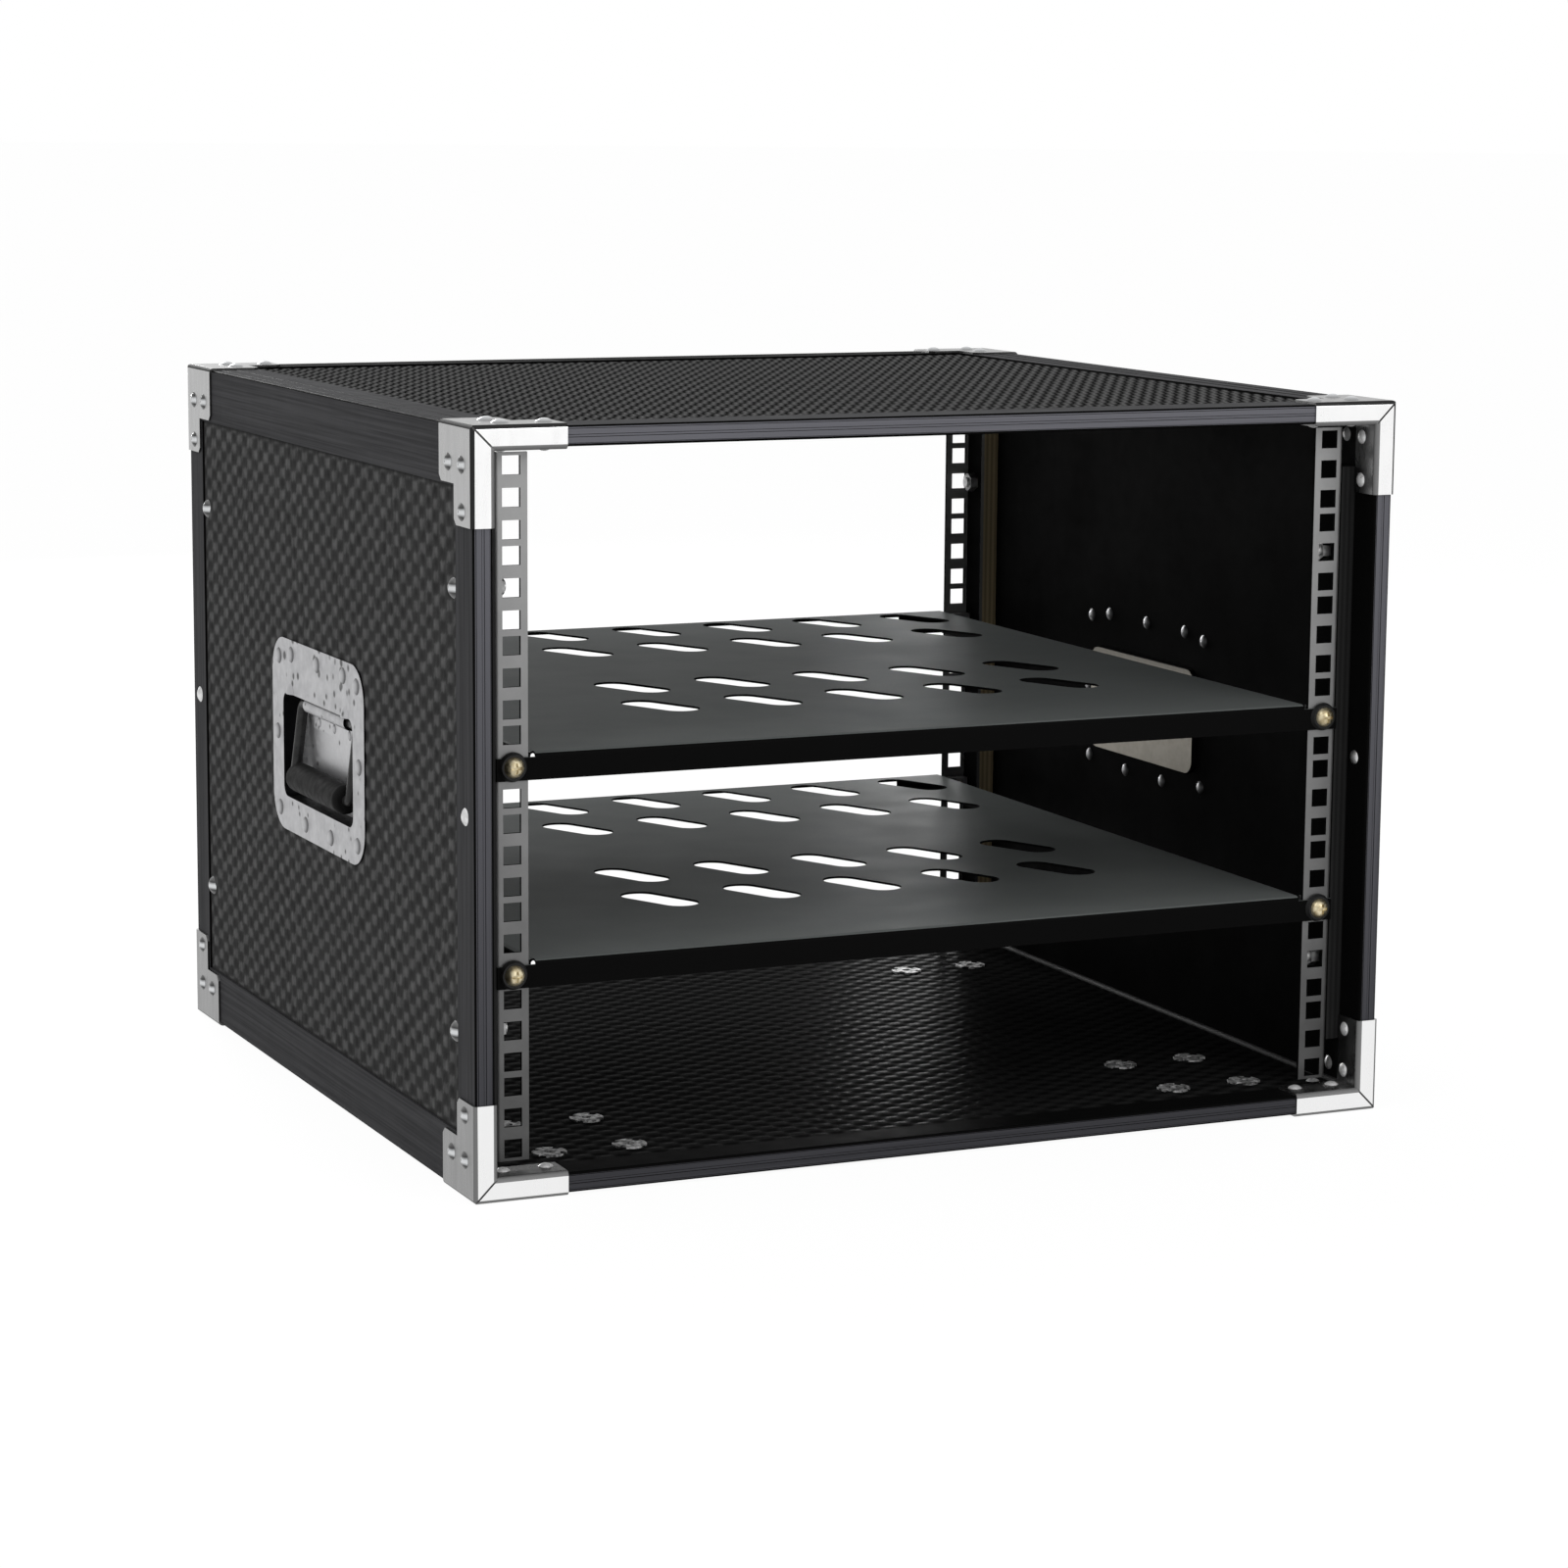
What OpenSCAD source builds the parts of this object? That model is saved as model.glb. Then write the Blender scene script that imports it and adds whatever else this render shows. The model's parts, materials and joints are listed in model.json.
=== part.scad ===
// Open 19 inch rack case: laminated plywood panels, aluminium edging, plated corner fittings,
// square-hole rails at the front and the rear, two vented shelves and a recessed handle on each side.
// Millimetres. The front opening faces -Y, up is +Z, and the origin is the centre of the underside.

/* [Rack] */
// Height of the rack opening in rack units
rack_units = 8; // [6:1:12]
// Distance between the two columns of rack holes
hole_columns = 465.1; // [440:0.1:500]
// Side of a square rack hole
rack_hole = 9.5; // [8.5:0.1:10]
// Width of a rail's face
rail_face = 17; // [16:0.5:22]
// Depth of a rail's side flange
rail_flange = 20; // [18:0.5:30]
// Sheet thickness of a rail
rail_t = 2; // [1.5:0.1:2.5]
// Distance from the case's front or rear edge to the rails' faces
rail_inset = 21; // [20:0.5:40]
// Gap between a rail's end and the panel beyond it
rail_end_gap = 4.8; // [4:0.1:12]
// Thickness of the wooden spacers between the rails and the walls
spacer_t = 9.5; // [6:0.5:14]
// Distance from a spacer's end to the panel beyond it
spacer_end_gap = 26; // [22:1:40]

/* [Case] */
// Depth of the case over its corner fittings
case_depth = 483; // [420:1:700]
// Thickness of the plywood panels
panel_t = 8; // [6:0.5:12]
// Sheet thickness of the edging and the edge angles
edging_t = 1.2; // [1:0.1:1.6]
// How much deeper the edging's outer leg reaches than its inner leg
outer_leg_extra = 5; // [4:0.5:8]
// Leg of the edge angles
angle_leg = 30; // [28:0.5:45]

/* [Corner fittings] */
// Sheet thickness of a corner fitting
corner_t = 1.2; // [1:0.1:1.6]
// Length of the arms along the edges of the opening
corner_arm = 50; // [46:0.5:70]
// Length of the arm along the depth
corner_depth = 46; // [44:0.5:70]
// Width of the arm along the depth
corner_leg = 30; // [28:0.5:40]
// Outer radius of the pressed bends
corner_bend = 2.5; // [2:0.1:3]
// Chamfer at the free corners of the arms
corner_chamfer = 3; // [1:0.5:5]
// Width of the mitre seam on the front
seam_w = 1; // [0.3:0.1:1.2]
// Depth of the mitre seam on the front
seam_depth = 0.6; // [0.2:0.1:0.8]

/* [Rivets and bolts] */
// Diameter of a rivet's shank
rivet_d = 4.8; // [4:0.1:5]
// Diameter of a rivet's head
rivet_head_d = 9; // [8:0.1:10]
// Height of a rivet's domed head
rivet_head_h = 1.8; // [1:0.1:2.5]
// Diameter of a rivet's set inner end
rivet_tail_d = 7.6; // [6.5:0.1:8]
// Height of a rivet's set inner end
rivet_tail_h = 1.6; // [1:0.1:2]
// Distance from a rivet to the free end of the flange or arm that it holds
rivet_margin = 7; // [6:0.5:8]
// Distance from a rivet to the long edge of the arm along the depth
rivet_edge_margin = 10; // [8:0.5:11]
// Distance from a rivet to the end of the arm along the depth
rivet_depth_margin = 13; // [8:0.5:13.5]
// Diameter of the bolts and screws
bolt_d = 6; // [5:0.5:6]
// Diameter of a rail bolt's domed head
bolt_head_d = 11; // [10:0.5:13]
// Height of a rail bolt's domed head
bolt_head_h = 3; // [2:0.1:4]
// Width across flats of a rail nut
nut_flats = 10; // [9.5:0.1:10.5]
// Height of a rail nut
nut_h = 5; // [4:0.1:6]
// All-round gap between a shank and its hole
fit_gap = 0.1; // [0.05:0.05:0.2]

/* [Shelves] */
// Rack hole that holds the upper shelf, counted from the bottom
upper_shelf_hole = 13; // [10:1:15]
// Rack hole that holds the lower shelf, counted from the bottom
lower_shelf_hole = 6; // [2:1:8]
// Sheet thickness of a shelf
shelf_t = 1.2; // [1:0.1:2]
// Height of a shelf's lips and side flanges
shelf_lip = 14; // [12:0.5:20]
// Outer radius of a shelf's folds
shelf_bend = 2.5; // [2.2:0.1:3]
// Gap between a shelf and the rails beside it
shelf_side_gap = 1; // [0.5:0.1:3]
// Length of a vent slot
slot_length = 50; // [30:1:54]
// Width of a vent slot
slot_width = 21; // [6:0.5:24]
// Direction of a vent slot from the shelf's front edge, in degrees
slot_angle = 115; // [95:1:130]
// Distance between the slots of a row
slot_pitch = 60; // [50:1:62]
// Number of slots in a row
slot_count = 5; // [3:1:5]
// Distance of the slots' middle to the right of the shelf's middle
slot_shift = 43; // [0:1:45]
// Distance between the two rows of a pair
slot_row_step = 70; // [62:1:76]
// Distance from the front lip to the first row of slots
slot_front_gap = 124; // [60:1:130]
// Distance from the rear lip to the last row of slots
slot_rear_gap = 32; // [29:1:50]
// Lean of the columns of slots, in degrees
slot_lean = 10; // [0:1:12]
// Height left of the rear lip along its cable notch
notch_lip = 3; // [3:0.5:8]
// Distance of the cable notch's ends from the shelf's sides
notch_end = 30; // [20:1:60]

/* [Shelf fixings] */
// Diameter of a shelf screw's pan head
screw_head_d = 10.5; // [9:0.1:12]
// Height of a shelf screw's pan head
screw_head_h = 4; // [3:0.1:5]
// Arm length of the cross recess in a shelf screw
recess_arm = 5.6; // [4:0.1:6.5]
// Width of the cross recess in a shelf screw
recess_w = 1.4; // [1:0.1:1.8]
// Depth of the cross recess in a shelf screw
recess_depth = 1.8; // [1:0.1:2.5]
// Diameter of a cup washer
washer_d = 15; // [14:0.5:16]
// Height of a cup washer
washer_h = 2; // [1.5:0.1:3]
// Side of a cage nut's body
cage_side = 11; // [10.5:0.1:11.5]
// Depth of a cage nut's body behind the rail
cage_depth = 7; // [5:0.5:9]

/* [Handles] */
// Distance of the handles behind the middle of the sides
handle_back = 6; // [-20:1:20]
// Length of the handle plate
plate_w = 158; // [150:1:200]
// Height of the handle plate
plate_h = 107; // [105:1:140]
// Corner radius of the handle plate
plate_r = 20; // [10:0.5:24]
// Sheet thickness of the dish
dish_t = 1.2; // [1:0.1:1.5]
// Height of the plate above the dish's mouth
plate_top = 30; // [28:0.5:34]
// Height of the plate below the dish's mouth
plate_bottom = 19; // [19:0.5:22]
// Width of the plate beside the dish's mouth
plate_side = 19; // [17:0.5:22]
// Depth of the dish from the plate's face
dish_depth = 11; // [10.5:0.5:16]
// Corner radius of the dish's mouth
dish_r = 6.5; // [4:0.5:12]
// Gap between the dish and the cut-out in the panel
cutout_gap = 0.5; // [0.3:0.1:1]
// Diameter of the bail's rod
rod_d = 6; // [5:0.5:6.5]
// Distance between the bail's two arms
bail_w = 95; // [86:1:98]
// Radius of the bail's bends along the rod's axis
bail_bend = 5; // [4:0.5:6]
// Diameter of the rubber grip
grip_d = 16; // [14:0.5:17]
// Height of the grip above the lower edge of the dish's mouth
grip_lift = 4.5; // [2:0.5:8]
// Rounding at the grip's ends
grip_round = 3; // [1:0.5:4]
// Running gap around the bail's pivot and behind the grip
swing_gap = 0.3; // [0.3:0.05:0.5]
// Length of the retainer strip over the pivot
retainer_w = 70; // [50:1:74]
// Sheet thickness of the retainer strip
retainer_t = 1.2; // [1:0.1:1.5]
// Height of the retainer's riveted foot
retainer_foot = 8; // [7:0.5:10]
// Gap between the retainer strip and the dish's upper wall
retainer_gap = 0.5; // [0.3:0.1:1]
// Distance between the rivets of the retainer strip
retainer_pitch = 26; // [15:1:30]
// Diameter of a retainer rivet's shank
small_rivet_d = 3; // [2.5:0.1:3.2]
// Diameter of a retainer rivet's head
small_head_d = 5.4; // [4.5:0.1:6]
// Height of a retainer rivet's head
small_head_h = 1; // [0.8:0.1:1.2]
// Distance from the corner rivets to the plate's ends
plate_rivet_end = 12; // [11.5:0.5:12]
// Distance from the corner rivets to the plate's long edges
plate_rivet_edge = 11; // [10:0.5:11]
// Distance from the upper and lower rows of rivets to the plate's long edges
plate_row_edge = 8; // [7:0.5:8]
// Distance between the rivets of the upper row
upper_row_pitch = 45; // [30:1:48]
// Distance between the rivets of the lower row
lower_row_pitch = 44; // [30:1:48]
// Distance from the middle rivets to the plate's ends
plate_mid_end = 9; // [7:0.5:9]
// Base radius of the pressed humps above the bail's arms
hump_r = 6; // [4:0.5:7]
// Height of the pressed humps above the bail's arms
hump_h = 2; // [1.5:0.1:2.5]

/* [Caster fixings] */
// Distance from the case's side to the centre of a group of tee nuts
caster_side = 79; // [60:1:100]
// Distance from the case's front or rear edge to the centre of a group of tee nuts
caster_end = 75; // [65:1:110]
// Distance between tee nuts across the case
caster_pitch_x = 44; // [30:1:60]
// Distance between tee nuts along the depth
caster_pitch_y = 60; // [30:1:70]
// Diameter of a tee nut's flange
tee_flange_d = 18; // [14:0.5:20]
// Thickness of a tee nut's flange
tee_flange_t = 1.2; // [1:0.1:2]
// Diameter of a tee nut's barrel
tee_barrel_d = 8; // [7.5:0.1:9]
// Diameter of a tee nut's bore
tee_bore_d = 5; // [4:0.1:5.5]
// Wood left below a tee nut's barrel
tee_floor = 1; // [0.5:0.1:2]
// Width of the notches that a tee nut's prongs leave in its flange
tee_notch_w = 4; // [2:0.5:5]
// Depth of those notches from the flange's rim
tee_notch_depth = 3.2; // [1:0.1:4]

/* [Hidden] */
$fn = 48;
// Rack standard: height of a unit, lowest hole in it and the step between its three holes
unit_h = 44.45;
unit_first_hole = 6.35;
unit_hole_step = 15.875;
// Overshoot of cutting bodies
cut = 1;

// Walls: distances from the outside of the case inwards
sheet = corner_t + edging_t;
wall = sheet + panel_t;
edging_web = panel_t + 2 * edging_t;
corner_web = edging_web + 2 * corner_t;
edging_bend = corner_bend - corner_t;

// Overall sizes
rail_x = hole_columns / 2 + rail_face / 2;
case_w = 2 * (rail_x + spacer_t + wall);
rail_len = rack_units * unit_h;
rail_z = wall + rail_end_gap;
case_h = rail_len + 2 * rail_z;

// Legs of the edging and of the corner fittings, from the outside of the opening
inner_leg_end = rail_inset;
outer_leg_end = rail_inset + outer_leg_extra;
corner_inner_leg = inner_leg_end - corner_t;
corner_outer_leg = outer_leg_end - corner_t;

// Rivets of a corner fitting: distances from the opening's face and from the neighbouring side
flange_rivet = inner_leg_end - rivet_margin;
arm_rivet = corner_arm - rivet_margin;
edge_rivet = corner_leg - rivet_edge_margin;
depth_rivet = corner_depth - rivet_depth_margin;
through_rivets = [[flange_rivet, edge_rivet], [flange_rivet, arm_rivet]];
angle_rivets = [[depth_rivet, edge_rivet]];
rivet_hole_d = rivet_d + 2 * fit_gap;
bolt_hole_d = bolt_d + 2 * fit_gap;

// Rail bolts: distance behind the opening's face, so that their heads clear the edging, and units
rail_bolt = outer_leg_end + bolt_head_d / 2 + fit_gap;
rail_bolt_units = [1, rack_units - 2];

// Shelves
shelf_w = hole_columns - rail_face - 2 * shelf_side_gap;
shelf_len = case_depth - 2 * (rail_inset - shelf_t);
slot_rows = [
    -shelf_len / 2 + slot_front_gap,
    -shelf_len / 2 + slot_front_gap + slot_row_step,
    shelf_len / 2 - slot_rear_gap - slot_row_step,
    shelf_len / 2 - slot_rear_gap
];
slot_middle = (slot_rows[0] + slot_rows[3]) / 2;
slot_places = [
    for (y = slot_rows, i = [0 : slot_count - 1])
        [slot_shift + (i - (slot_count - 1) / 2) * slot_pitch + (y - slot_middle) * tan(slot_lean), y]
];

// Handles: x runs inwards from the panel's outer face, y along the depth and z up from mid height
mouth_w = plate_w - 2 * plate_side;
mouth_h = plate_h - plate_top - plate_bottom;
mouth_top = plate_h / 2 - plate_top;
mouth_z = mouth_top - mouth_h / 2;
dish_floor = dish_depth - dish_t;
rod_r = rod_d / 2;
pivot_sleeve = rod_r + swing_gap;
pivot_x = dish_floor - pivot_sleeve;
pivot_z = mouth_top - retainer_gap - retainer_t - pivot_sleeve;
grip_x = dish_floor - swing_gap - grip_d / 2;
grip_z = mouth_top - mouth_h + grip_lift + grip_d / 2;
bail_drop = norm([pivot_x - grip_x, pivot_z - grip_z]);
bail_lean = atan2(pivot_x - grip_x, pivot_z - grip_z);
grip_len = bail_w - 2 * bail_bend - 2 * fit_gap;
foot_z = pivot_z - pivot_sleeve - retainer_t - retainer_foot;
corner_y = plate_w / 2 - plate_rivet_end;
corner_z = plate_h / 2 - plate_rivet_edge;
row_z = plate_h / 2 - plate_row_edge;
mid_y = plate_w / 2 - plate_mid_end;
plate_rivets = concat(
    [for (sy = [-1, 1], sz = [-1, 1]) [sy * corner_y, sz * corner_z]],
    [for (i = [-1:1]) [i * upper_row_pitch, row_z]],
    [for (sy = [-1, 1]) [sy * lower_row_pitch / 2, -row_z]],
    [for (sy = [-1, 1]) [sy * mid_y, 0]]
);
retainer_rivets = [for (i = [-1:1]) [i * retainer_pitch, foot_z + retainer_foot / 2]];

// Tee nuts, in the plan of the floor
caster_x = case_w / 2 - caster_side;
caster_y = case_depth / 2 - caster_end;
tee_nuts = [
    for (gx = [-1, 1], gy = [-1, 1], nx = [-1, 1], ny = [-1, 1])
        [gx * caster_x + nx * caster_pitch_x / 2, gy * caster_y + ny * caster_pitch_y / 2]
];

// Height of a rack hole, counted from the bottom
function hole_z(index) =
    rail_z + floor(index / 3) * unit_h + unit_first_hole + (index % 3) * unit_hole_step;

// Mirrors its children when asked to
module flip(on, normal) {
    if (on) mirror(normal) children();
    else children();
}

// Places children drawn at the lower front left corner of the case, with x, y and z running
// inwards from its outer faces, at any of the eight corners
module octant(right = false, rear = false, top = false) {
    translate([0, 0, case_h / 2])
        flip(right, [1, 0, 0]) flip(rear, [0, 1, 0]) flip(top, [0, 0, 1])
            translate([-case_w / 2, -case_depth / 2, -case_h / 2])
                children();
}

// Swaps the width and the height of a corner, so that a side becomes the top or the bottom
module swap_side() {
    mirror([1, 0, -1]) children();
}

// Turns a flat outline so that its x runs along the depth and its y upwards
module upright(thickness) {
    rotate([90, 0, 90]) linear_extrude(thickness) children();
}

// Turns a flat outline so that its y runs upwards, and extrudes it along the depth
module along_depth(from, to) {
    translate([0, to, 0]) rotate([90, 0, 0]) linear_extrude(to - from) children();
}

// Square with one rounded corner, at the origin
module quadrant(size, r) {
    translate([r, 0]) square([size - r, size]);
    translate([0, r]) square([size, size - r]);
    translate([r, r]) circle(r);
}

// Rectangle whose two lower corners are rounded, unless r is 0
module round_base(width, height, r) {
    if (r > 0) {
        translate([0, r]) square([width, height - r]);
        translate([r, 0]) square([width - 2 * r, height]);
        for (x = [r, width - r]) translate([x, r]) circle(r);
    } else {
        square([width, height]);
    }
}

// Rectangle with four rounded corners, centred
module round_rect(width, height, r) {
    square([width - 2 * r, height], center = true);
    square([width, height - 2 * r], center = true);
    for (sx = [-1, 1], sy = [-1, 1])
        translate([sx * (width / 2 - r), sy * (height / 2 - r)]) circle(r);
}

// Folded channel: its web lies on the x axis, with the leg at x = 0 and the far leg upwards
module channel(width, leg, far_leg, t, r, inner_r) {
    difference() {
        round_base(width, max(leg, far_leg), r);
        translate([t, t]) round_base(width - 2 * t, max(leg, far_leg), inner_r);
        translate([-cut, leg]) square([cut + t, max(leg, far_leg)]);
        translate([width - t, far_leg]) square([cut + t, max(leg, far_leg)]);
    }
}

// Domed cap for a revolved fastener, below y = 0
module cap(d, h) {
    sphere_r = (d * d / 4 + h * h) / (2 * h);
    intersection() {
        translate([0, sphere_r - h]) circle(sphere_r);
        translate([0, -h]) square([d / 2, h]);
    }
}

// Rivet along z: domed head below 0, shank over the clamped thickness, set end beyond it
module rivet(grip, d = rivet_d, head_d = rivet_head_d, head_h = rivet_head_h,
             tail_d = rivet_tail_d, tail_h = rivet_tail_h) {
    rotate_extrude() {
        cap(head_d, head_h);
        square([d / 2, grip]);
        translate([0, grip]) mirror([0, 1]) cap(tail_d, tail_h);
    }
}

// Countersunk rivet along z: its head fills the first sheet, flush with 0
module flush_rivet(grip) {
    rotate_extrude() {
        polygon([[0, 0], [rivet_head_d / 2 - fit_gap, 0], [rivet_d / 2, corner_t], [0, corner_t]]);
        square([rivet_d / 2, grip]);
        translate([0, grip]) mirror([0, 1]) cap(rivet_tail_d, rivet_tail_h);
    }
}

// Sends children drawn along z into the side of a corner at depth and height positions
module into_side(places, from = 0) {
    for (p = places) translate([from, p[0], p[1]]) rotate([0, 90, 0]) children();
}

// Holes for the rivets of one side of a corner
module side_rivet_holes() {
    into_side(concat(through_rivets, angle_rivets), -cut)
        cylinder(d = rivet_hole_d, h = corner_web + 2 * cut);
}

// Countersinks for the flush rivets of one side of a corner
module side_countersinks() {
    into_side(concat(through_rivets, angle_rivets))
        cylinder(d1 = rivet_head_d, d2 = rivet_hole_d, h = corner_t);
}

// Side panel of laminated plywood, with the handle's cut-out and the drillings
module side_panel(right) {
    color([0.16, 0.16, 0.17])
    difference() {
        octant(right) translate([sheet, sheet, sheet])
            cube([panel_t, case_depth - 2 * sheet, case_h - 2 * sheet]);
        for (rear = [false, true]) {
            for (top = [false, true]) octant(right, rear, top) side_rivet_holes();
            octant(right, rear) {
                into_side([[flange_rivet, case_h / 2]], sheet - cut)
                    cylinder(d = rivet_hole_d, h = panel_t + 2 * cut);
                rail_bolt_places(sheet - cut) cylinder(d = bolt_hole_d, h = panel_t + 2 * cut);
            }
        }
        handle(right) {
            translate([-cut, 0, mouth_z]) upright(panel_t + 2 * cut) mouth(dish_t + cutout_gap);
            into_side(plate_rivets, -cut) cylinder(d = rivet_hole_d, h = panel_t + 2 * cut);
        }
    }
}

// Top or bottom panel, butted between the side panels
module level_panel(top) {
    color([0.12, 0.12, 0.13])
    difference() {
        octant(top = top) translate([wall, sheet, sheet])
            cube([case_w - 2 * wall, case_depth - 2 * sheet, panel_t]);
        for (right = [false, true], rear = [false, true])
            octant(right, rear, top) swap_side() side_rivet_holes();
        if (!top)
            for (p = tee_nuts) translate([p[0], p[1], sheet - cut])
                cylinder(d = tee_barrel_d + 2 * fit_gap, h = panel_t + 2 * cut);
    }
}

// Aluminium angle along the depth, between the edgings of the two openings
module edge_angle(right, top) {
    color([0.3, 0.3, 0.33])
    difference() {
        octant(right, false, top) along_depth(outer_leg_end, case_depth - outer_leg_end)
            translate([corner_t, corner_t]) difference() {
                quadrant(angle_leg, edging_bend);
                translate([edging_t, edging_t]) square(angle_leg);
            }
        for (rear = [false, true]) octant(right, rear, top) {
            side_rivet_holes();
            swap_side() side_rivet_holes();
        }
    }
}

// Section of the edging, over the edge of a panel: x runs inwards from the side
module edging_section() {
    translate([corner_t, corner_t])
        channel(edging_web, corner_outer_leg, corner_inner_leg, edging_t, edging_bend, 0);
}

// Upright edging of an opening, its inner leg notched round the top and bottom panels
module upright_edging(right, rear) {
    color([0.3, 0.3, 0.33])
    difference() {
        octant(right, rear) translate([0, 0, corner_bend])
            linear_extrude(case_h - 2 * corner_bend) edging_section();
        for (top = [false, true]) octant(right, rear, top) {
            side_rivet_holes();
            translate([wall, sheet, 0]) cube([edging_web, rail_inset, wall]);
        }
        octant(right, rear) into_side([[flange_rivet, case_h / 2]])
            cylinder(d = rivet_hole_d, h = corner_web);
    }
}

// Level edging of an opening, between the upright ones
module level_edging(rear, top) {
    side = corner_t + edging_web;
    color([0.3, 0.3, 0.33])
    difference() {
        octant(false, rear, top) swap_side() translate([0, 0, side])
            linear_extrude(case_w - 2 * side) edging_section();
        for (right = [false, true]) octant(right, rear, top) swap_side() side_rivet_holes();
    }
}

// Block whose three outer edges at the corner of the case are rounded
module rounded_block(r) {
    size = corner_arm + corner_depth;
    intersection() {
        linear_extrude(size) quadrant(size, r);
        upright(size) quadrant(size, r);
        along_depth(0, size) quadrant(size, r);
    }
}

// Outline of a corner fitting on one side of the case: a stepped plate with chamfered ends
module corner_side_outline() {
    upright(corner_bend) polygon([
        [0, 0],
        [corner_depth, 0],
        [corner_depth, corner_leg - corner_chamfer],
        [corner_depth - corner_chamfer, corner_leg],
        [corner_outer_leg, corner_leg],
        [corner_outer_leg, corner_arm - corner_chamfer],
        [corner_outer_leg - corner_chamfer, corner_arm],
        [0, corner_arm]
    ]);
}

// Outline of a corner fitting on the face of the opening, up to the inner bends
module corner_face_outline() {
    flat = corner_web - corner_bend;
    along_depth(0, corner_bend) {
        square([corner_arm, flat]);
        square([flat, corner_arm]);
    }
}

// Inner leg of a corner fitting beside the wall, with the bend that joins it to the face
module corner_inner_flange() {
    difference() {
        linear_extrude(corner_arm) {
            translate([corner_web - corner_bend, corner_bend]) intersection() {
                difference() {
                    circle(corner_bend);
                    circle(corner_bend - corner_t);
                }
                translate([0, -corner_bend]) square(corner_bend);
            }
            translate([corner_web - corner_t, corner_bend])
                square([corner_t, corner_inner_leg - corner_bend]);
        }
        along_depth(-cut, corner_inner_leg + cut)
            polygon([[0, 0], [corner_arm, 0], [corner_arm, corner_arm]]);
    }
}

// Three-way corner fitting, pressed from sheet round the edging, with a mitred face
module corner_fitting(flush) {
    difference() {
        union() {
            intersection() {
                difference() {
                    rounded_block(corner_bend);
                    translate([corner_t, corner_t, corner_t]) rounded_block(corner_bend - corner_t);
                }
                union() {
                    corner_side_outline();
                    swap_side() corner_side_outline();
                    corner_face_outline();
                }
            }
            corner_inner_flange();
            swap_side() corner_inner_flange();
        }
        side_rivet_holes();
        swap_side() side_rivet_holes();
        if (flush) swap_side() side_countersinks();
        rotate([0, -45, 0]) translate([0, -cut, -seam_w / 2])
            cube([corner_web * 2, cut + seam_depth, seam_w]);
    }
}

module corner(right, rear, top) {
    color([0.78, 0.79, 0.8]) octant(right, rear, top) corner_fitting(!top);
}

// Places children at the bolts of one rail, drawn along z into the side of the case
module rail_bolt_places(from) {
    into_side([for (u = rail_bolt_units) [rail_bolt, hole_z(3 * u + 1)]], from) children();
}

// Rack rail: a folded strip with three square holes to each unit, and bolt holes in its flange
module rail(right, rear) {
    color([0.42, 0.43, 0.44])
    octant(right, rear) translate([case_w / 2 - rail_x, rail_inset, 0])
    difference() {
        translate([0, 0, rail_z]) linear_extrude(rail_len) difference() {
            quadrant(max(rail_face, rail_flange), rail_t);
            translate([rail_t, rail_t]) square(max(rail_face, rail_flange));
            translate([rail_face, -cut]) square(rail_flange);
            translate([-cut, rail_flange]) square(rail_face);
        }
        for (i = [0 : 3 * rack_units - 1])
            translate([rail_face / 2 - rack_hole / 2, -cut, hole_z(i) - rack_hole / 2])
                cube([rack_hole, rail_t + 2 * cut, rack_hole]);
        translate([-case_w / 2 + rail_x, -rail_inset, 0]) rail_bolt_places(0)
            cylinder(d = bolt_hole_d, h = wall + spacer_t + rail_t + cut);
    }
}

// Plywood strip that carries a rail on the wall
module spacer(right, rear) {
    color([0.2, 0.19, 0.18])
    octant(right, rear) difference() {
        translate([wall, rail_inset, wall + spacer_end_gap])
            cube([spacer_t, rail_flange, case_h - 2 * (wall + spacer_end_gap)]);
        rail_bolt_places(0) cylinder(d = bolt_hole_d, h = case_w / 2 - rail_x + cut);
    }
}

// Round-ended vent slot, centred and along x
module slot() {
    straight = slot_length - slot_width;
    square([straight, slot_width], center = true);
    for (s = [-1, 1]) translate([s * straight / 2, 0]) circle(d = slot_width);
}

// Shelf folded from one sheet: lips with ears over the rails, side flanges, vent slots and a
// cable notch in the rear lip
module shelf(hole) {
    top = hole_z(hole) + shelf_lip / 2;
    flange_len = shelf_len - 2 * (shelf_bend + shelf_t);
    lip_w = shelf_w - 2 * shelf_bend;
    fold_r = shelf_bend - shelf_t;
    color([0.29, 0.3, 0.29])
    translate([0, 0, top]) difference() {
        union() {
            translate([-lip_w / 2, 0, 0]) rotate([90, 0, 90]) linear_extrude(lip_w)
                mirror([0, 1]) translate([-shelf_len / 2, 0])
                    channel(shelf_len, shelf_lip, shelf_lip, shelf_t, shelf_bend, fold_r);
            along_depth(-flange_len / 2, flange_len / 2)
                mirror([0, 1]) translate([-shelf_w / 2, 0])
                    channel(shelf_w, shelf_lip, shelf_lip, shelf_t, shelf_bend, fold_r);
            for (rear = [0, 1]) mirror([0, rear, 0])
                translate([-rail_x, -shelf_len / 2, -shelf_lip])
                    cube([2 * rail_x, shelf_t, shelf_lip - shelf_bend]);
        }
        for (sx = [-1, 1]) translate([sx * hole_columns / 2, 0, -shelf_lip / 2])
            rotate([90, 0, 0]) cylinder(d = bolt_hole_d, h = shelf_len + 2 * cut, center = true);
        for (p = slot_places) translate([p[0], p[1], -shelf_t - cut])
            rotate(slot_angle) linear_extrude(shelf_t + 2 * cut) slot();
        translate([notch_end - shelf_w / 2, shelf_len / 2 - shelf_t - cut, -shelf_lip - cut])
            cube([shelf_w - 2 * notch_end, shelf_t + 2 * cut, shelf_lip - notch_lip + cut]);
    }
}

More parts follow.
